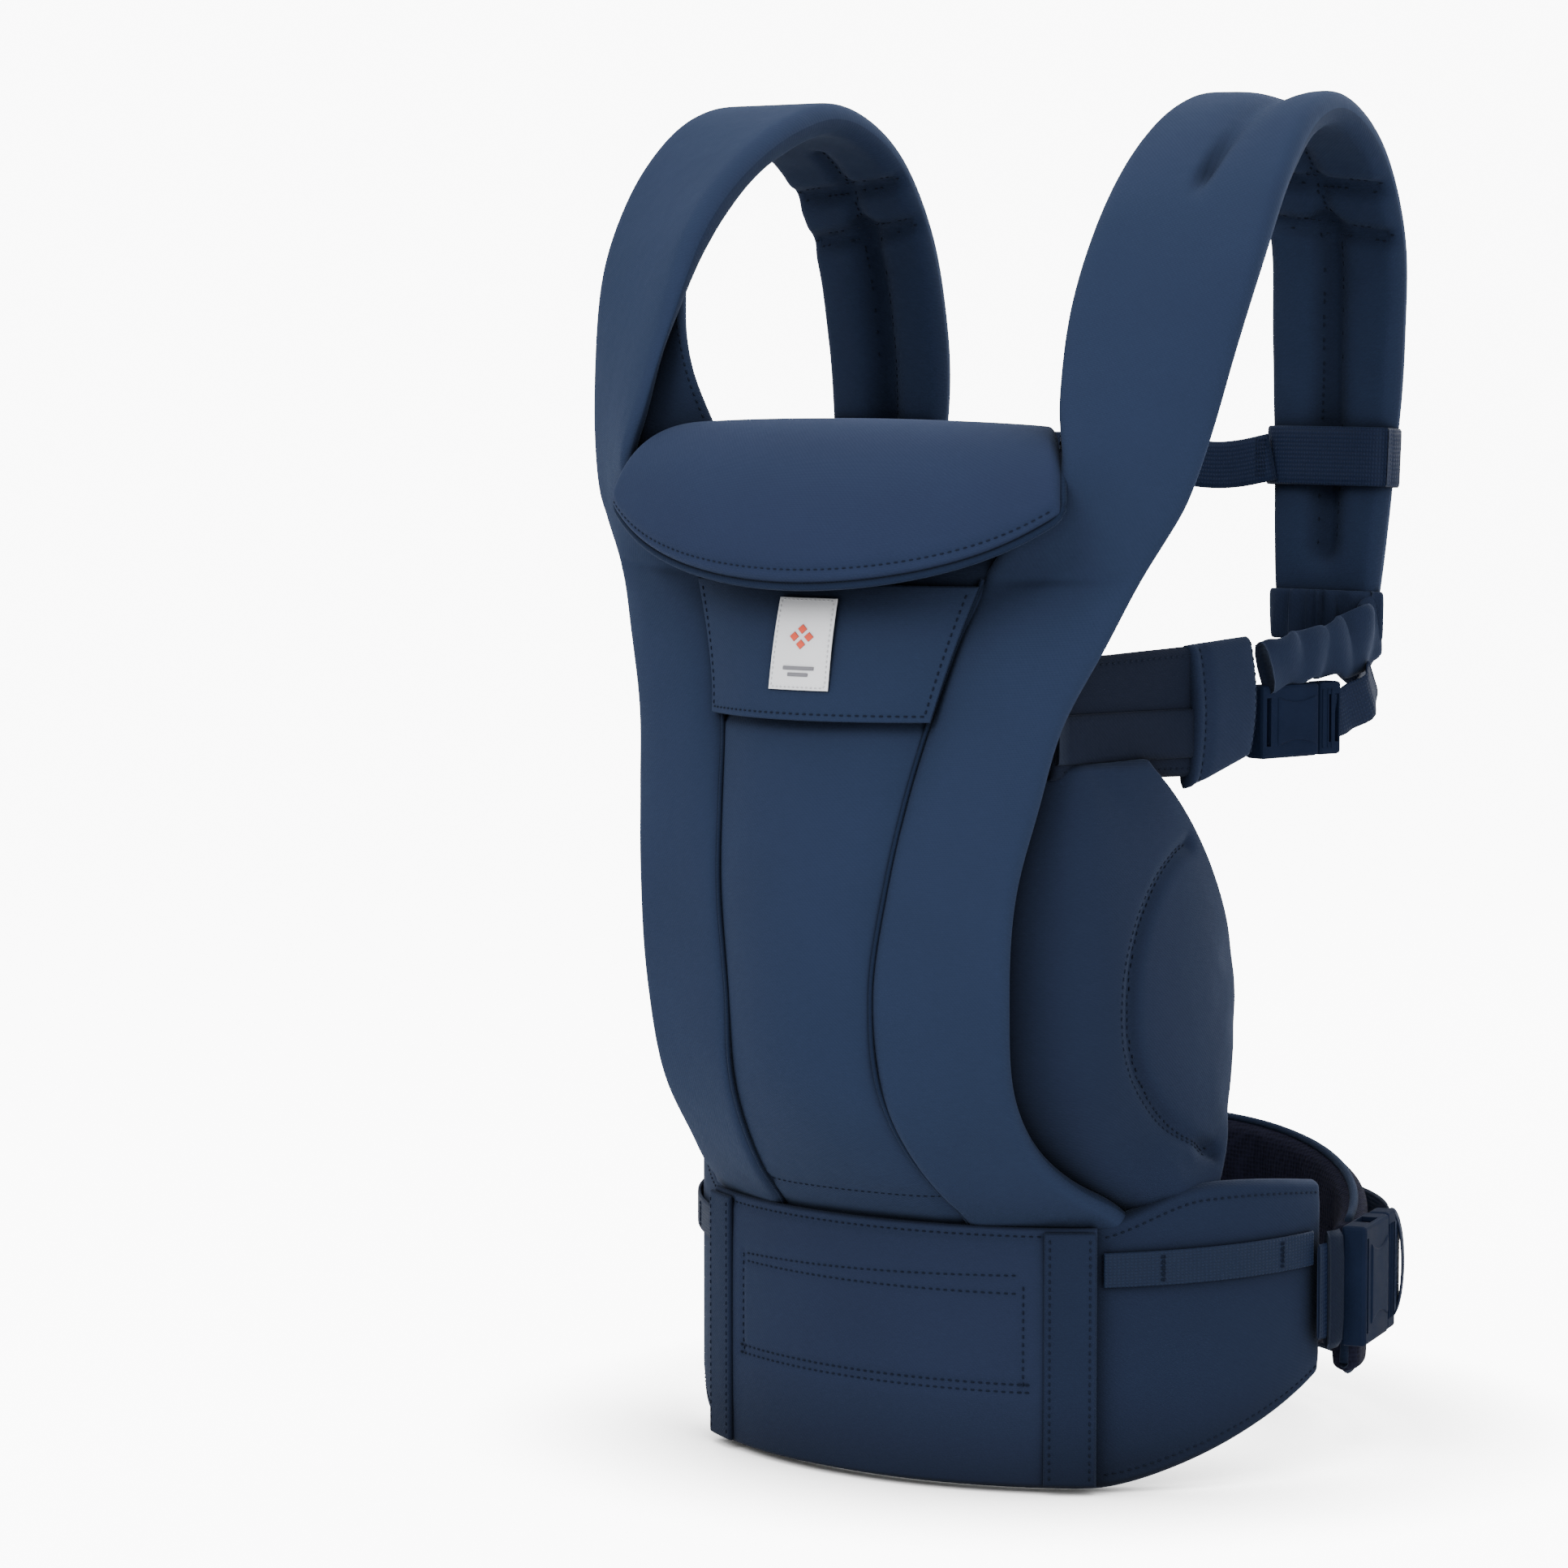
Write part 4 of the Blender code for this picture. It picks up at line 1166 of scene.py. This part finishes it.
def strap_webbing():
    end = Vector(STRAP_PATH[-1][:3])
    slot = SIDE_MOUTH + SIDE_PULL * 0.0115

    def turned(t):
        """The webbing's width lies across the strap at its end and upright at the plug."""
        return Vector((1, 0, 0)).lerp(Vector((0.15, -0.25, 1)), smooth((t - 0.15) / 0.45))

    # The adjuster webbing: out of the strap's end, round behind it and forwards to the plug.
    run = [end + Vector(step) for step in (
        (0.000, -0.001, 0.018), (0.000, 0.000, 0.002), (0.004, 0.012, -0.012),
        (0.012, 0.020, -0.022), (0.020, 0.004, -0.030))]
    run += [slot + SIDE_PULL * 0.018 + UP * 0.003, slot + Vector((0.002, 0, 0))]
    main = web("strap_webbing_left_soft", curve_through(run), turned)

    # The gathered cover over it, from the strap's end to the wing's sleeve.
    run = [end + Vector(step) for step in (
        (0.002, 0.006, 0.011), (0.021, 0.006, 0.007), (0.029, -0.009, 0.000))]
    run += [Vector(place) for place in (
        (0.169, 0.020, 0.4260), (0.1645, -0.010, 0.4235), (0.158, -0.040, 0.4180))]
    cover = swept("strap_cover_left", wavy(curve_through(run, 0.003), 0.0014, 6, (1, 0, 0.5)),
                  lambda t: Vector((0.16 * math.sin(t * 23), 0.1, 1)),
                  lambda t: 0.037 - 0.009 * smooth((t - 0.35) / 0.3) + 0.0018 * math.sin(t * 41),
                  0.0105, side_cotton_painted_shade, corner=0.8, sides=12)
    subdivide(cover)
    for piece in (main, cover, mirrored(main), mirrored(cover)):
        blended(piece)

    tail = [slot + SIDE_PULL * out + Vector((x, 0, z)) for out, x, z in (
        (0, 0, 0), (0.012, 0.004, 0.004), (0.026, 0.006, 0.012), (0.034, 0.001, 0.020))]
    keep_pair(web("strap_tail_left", wavy(curve_through(tail), 0.0016, 2, (1, 0, 0)),
                  Vector((0, -0.3, 1))), "side_left_plug")
    keeper = ring("strap_keeper_left_soft", run_position(0.4405), 0.002, 0.027, side_cotton_painted_shade, 0.0034,
                  0.62)
    subdivide(keeper)
    gather(keeper, end, 0.0012)
    keep_pair(keeper, "harness_rear")


def chest_strap():
    at = run_position(CHEST_HEIGHT)
    run, _, _, width = strap_frame(at)
    y_middle = run.y - STRAP_THICKNESS / 2 - CHEST_WEB_GAP
    inner = run.x - width / 2 + 0.004
    keep_pair(ring("chest_loop_left_soft", at, 0.005, 0.031, webbing), "chest_strap")
    tacks = []
    for side, start, end in (("left", 0.0440, inner), ("right", -inner, -0.052)):
        band = web(f"chest_webbing_{side}_soft", [
            Vector((start + (end - start) * t, y_middle - 0.0008 * math.sin(t * 9),
                    CHEST_HEIGHT - 0.0050 * math.sin(math.pi * t))) for t in np.linspace(0, 1, 24)])
        keep(band, "chest_strap")
        for k in range(4):
            x = math.copysign(inner - 0.004 - 0.0016 * k, start)
            line = [Vector((x, y_middle - 0.001, CHEST_HEIGHT - 0.0005 + z))
                    for z in (-0.0105, 0.0105)]
            tacks.append(stitches(band, line, length=0.002, gap=0.0002, radius=0.0003))
    keep(joined("chest_tacks", tacks), "chest_strap")
    # The plug's webbing doubles back.
    tail = [Vector((-0.020 - 0.060 * t, y_middle + 0.0032 + 0.0012 * math.sin(t * 7),
                    CHEST_HEIGHT - 0.001)) for t in np.linspace(0, 1, 20)]
    keep(web("chest_tail", tail), "chest_plug")


def buckles():
    """The frame's buckles keep their shapes; each gets a domed plate, grip ribs and soft edges."""
    radial = around(WAIST_BUCKLE_DEGREES)
    chest_y = strap_frame(run_position(CHEST_HEIGHT))[0].y - STRAP_THICKNESS / 2 - CHEST_WEB_GAP
    flip = Matrix.Diagonal((-1, 1, 1))
    places = (
        ("waist", waist_point(WAIST_BUCKLE_DEGREES), Vector((-radial.y, radial.x, 0)), WAIST_WEB,
         "carrier", "waist_strap"),
        ("side_left", SIDE_MOUTH, SIDE_PULL, STRAP_WEB, "carrier", "side_left_plug"),
        ("side_right", flip @ SIDE_MOUTH, flip @ SIDE_PULL, STRAP_WEB, "carrier",
         "side_right_plug"),
        ("chest", Vector((0.002, chest_y, CHEST_HEIGHT)), Vector((-1, 0, 0)), STRAP_WEB,
         "chest_strap", "chest_plug"),
    )
    for name, mouth, out, web_width, socket_body, plug_body in places:
        thick = out.cross(UP)
        width, thickness = web_width + 0.013, 0.0135
        depth = 0.034 + 0.2 * (web_width - STRAP_WEB)
        for sign, side in ((1, "outer"), (-1, "inner")):
            def plate(u, v, sign=sign):
                waist = 1 - 0.22 * math.sin(math.pi * v)
                along = -depth * 0.08 - depth * 0.84 * v
                y = width * 0.34 * waist * (2 * u - 1) * sign
                return mouth + out * along + UP * y + thick * sign * (thickness / 2 - 0.0002)
            keep(padded(f"{name}_{side}_plate", plate, 0.0020, plastic, cell=0.004,
                        rounding=0.0012, levels=1), socket_body)
        ribs = []
        for sign in (1, -1):
            for x in (0.0035, 0.0073, 0.0101):
                middle = mouth + out * x + thick * sign * thickness * 0.425
                ends = [middle - UP * width * 0.40, middle + UP * width * 0.40]
                ribs.append(cord("rib", ends, 0.0006, plastic))
        keep(joined(f"{name}_grip", ribs), plug_body)
        for part in ("socket", "plug", "prong_upper", "prong_lower"):
            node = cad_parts[f"{name}_{part}"]
            node.data.materials.clear()
            node.data.materials.append(plastic)
            soft = node.modifiers.new("edges", "BEVEL")
            soft.width = 0.0005
            soft.segments = 2
            soft.angle_limit = math.radians(35)
            soft.harden_normals = False


def waist_webbing():
    """Both runs of the waist webbing, the socket's elastic sleeve, and the plug's doubled webbing
    with its elastic hoop."""
    keep(web("waist_webbing_short_soft", waist_run(-7.5, -1.2, 5), width=WAIST_WEB), "carrier")
    keep(web("waist_webbing_long_soft", waist_run(19.3, 184.5, 83), width=WAIST_WEB), "waist_strap")
    keep(swept("waist_elastic_sleeve", waist_run(-5.4, -1.8, 10, 0.0, 0.0012), UP,
               WAIST_WEB + 0.012, 0.0060, inner_lining, corner=0.6), "carrier")
    keep(web("waist_tail", waist_run(17.6, 26.6, 16, 0.0040, 0.0015), width=WAIST_WEB),
         "waist_strap")
    hoop = []
    for k in range(41):
        turn = 2 * math.pi * k / 40
        hoop.append(waist_point(21.5, 0.0022 + 0.0065 * math.cos(turn),
                                (WAIST_WEB / 2 + 0.004) * math.sin(turn)))
    keep(swept("waist_elastic_hoop", hoop, Vector((-math.sin(0.37), math.cos(0.37), 0)), 0.009,
               0.0012, webbing, corner=0.4), "waist_strap")


# ---- the studio ---------------------------------------------------------------------------------
VIEW_AZIMUTH, VIEW_ELEVATION = math.radians(34.8), math.radians(5.05)
VIEW_PLACE = Vector((1.5049, -2.4106, 0.5982))      # from the middle of the belt loop
VIEW_LENS, VIEW_SENSOR = 121.6, 36                   # millimetres
LIGHT_AIM = Vector((0, 0.1, 0.35))
LIGHTS = (                   # name, place, size in metres and power in watts
    ("key", (-0.55, -2.6, 2.3), 1.8, 70),
    ("fill", (2.6, -1.2, 1.2), 2.0, 42),
    ("back", (0.6, 2.9, 1.6), 2.0, 55),
    ("top", (0.0, 0.3, 2.8), 2.2, 45),
)
SWEEP_START, SWEEP_RADIUS = 3.0, 2.0


def studio():
    """A paper sweep behind the object, four lights and a bright world."""
    mesh = bpy.data.meshes.new("backdrop")
    profile = [(-6.0, 0.0), (SWEEP_START, 0.0)]
    for k in range(1, 13):
        turn = math.pi / 2 * k / 12
        profile.append((SWEEP_START + SWEEP_RADIUS * math.sin(turn),
                        SWEEP_RADIUS * (1 - math.cos(turn))))
    profile.append((SWEEP_START + SWEEP_RADIUS, 7.0))
    count = len(profile)
    mesh.from_pydata([(x, y, z) for x in (-9.0, 9.0) for y, z in profile], [],
                     [(count + k, count + k + 1, k + 1, k) for k in range(count - 1)])
    mesh.shade_smooth()
    mesh.materials.append(backdrop_material())
    floor = add_object("backdrop", mesh)
    floor.rotation_euler.z = VIEW_AZIMUTH
    floor.location.z = -0.0005
    for name, place, size, power in LIGHTS:
        light = bpy.data.lights.new(name, "AREA")
        light.shape = "DISK"
        light.size = size
        light.energy = power
        lamp = add_object(name, light)
        lamp.location = place
        lamp.rotation_euler = (LIGHT_AIM - lamp.location).to_track_quat("-Z", "Y").to_euler()
    world = bpy.context.scene.world or bpy.data.worlds.new("studio")
    bpy.context.scene.world = world
    nodes = Nodes(world)
    seen = nodes.add("LightPath")["Is Camera Ray"]
    nodes.feed(nodes.tree.nodes["Background"], {
        "Color": (1, 1, 1, 1),
        "Strength": nodes.math("MULTIPLY_ADD", seen, BACKDROP_GLOW, WORLD_GLOW)})


def camera():
    back = Vector((math.sin(VIEW_AZIMUTH) * math.cos(VIEW_ELEVATION),
                   -math.cos(VIEW_AZIMUTH) * math.cos(VIEW_ELEVATION), math.sin(VIEW_ELEVATION)))
    data = bpy.data.cameras.new("view")
    data.lens = VIEW_LENS
    data.sensor_width = VIEW_SENSOR
    view = add_object("view", data)
    view.location = VIEW_PLACE + LOOP_PLACE
    view.rotation_euler = (-back).to_track_quat("-Z", "Y").to_euler()
    bpy.context.scene.camera = view


# ---- the build ----------------------------------------------------------------------------------
makers = [make() for make in (belt, lumbar, panel, straps, gusset, leg_pads, side_wings,
                              head_support)]
softened = {}
for maker in makers:
    softened.update(next(maker))
soften(softened)
for maker in makers:
    next(maker, None)
for finish_off in (neck_roll, strap_webbing, chest_strap, buckles, waist_webbing, studio, camera):
    finish_off()
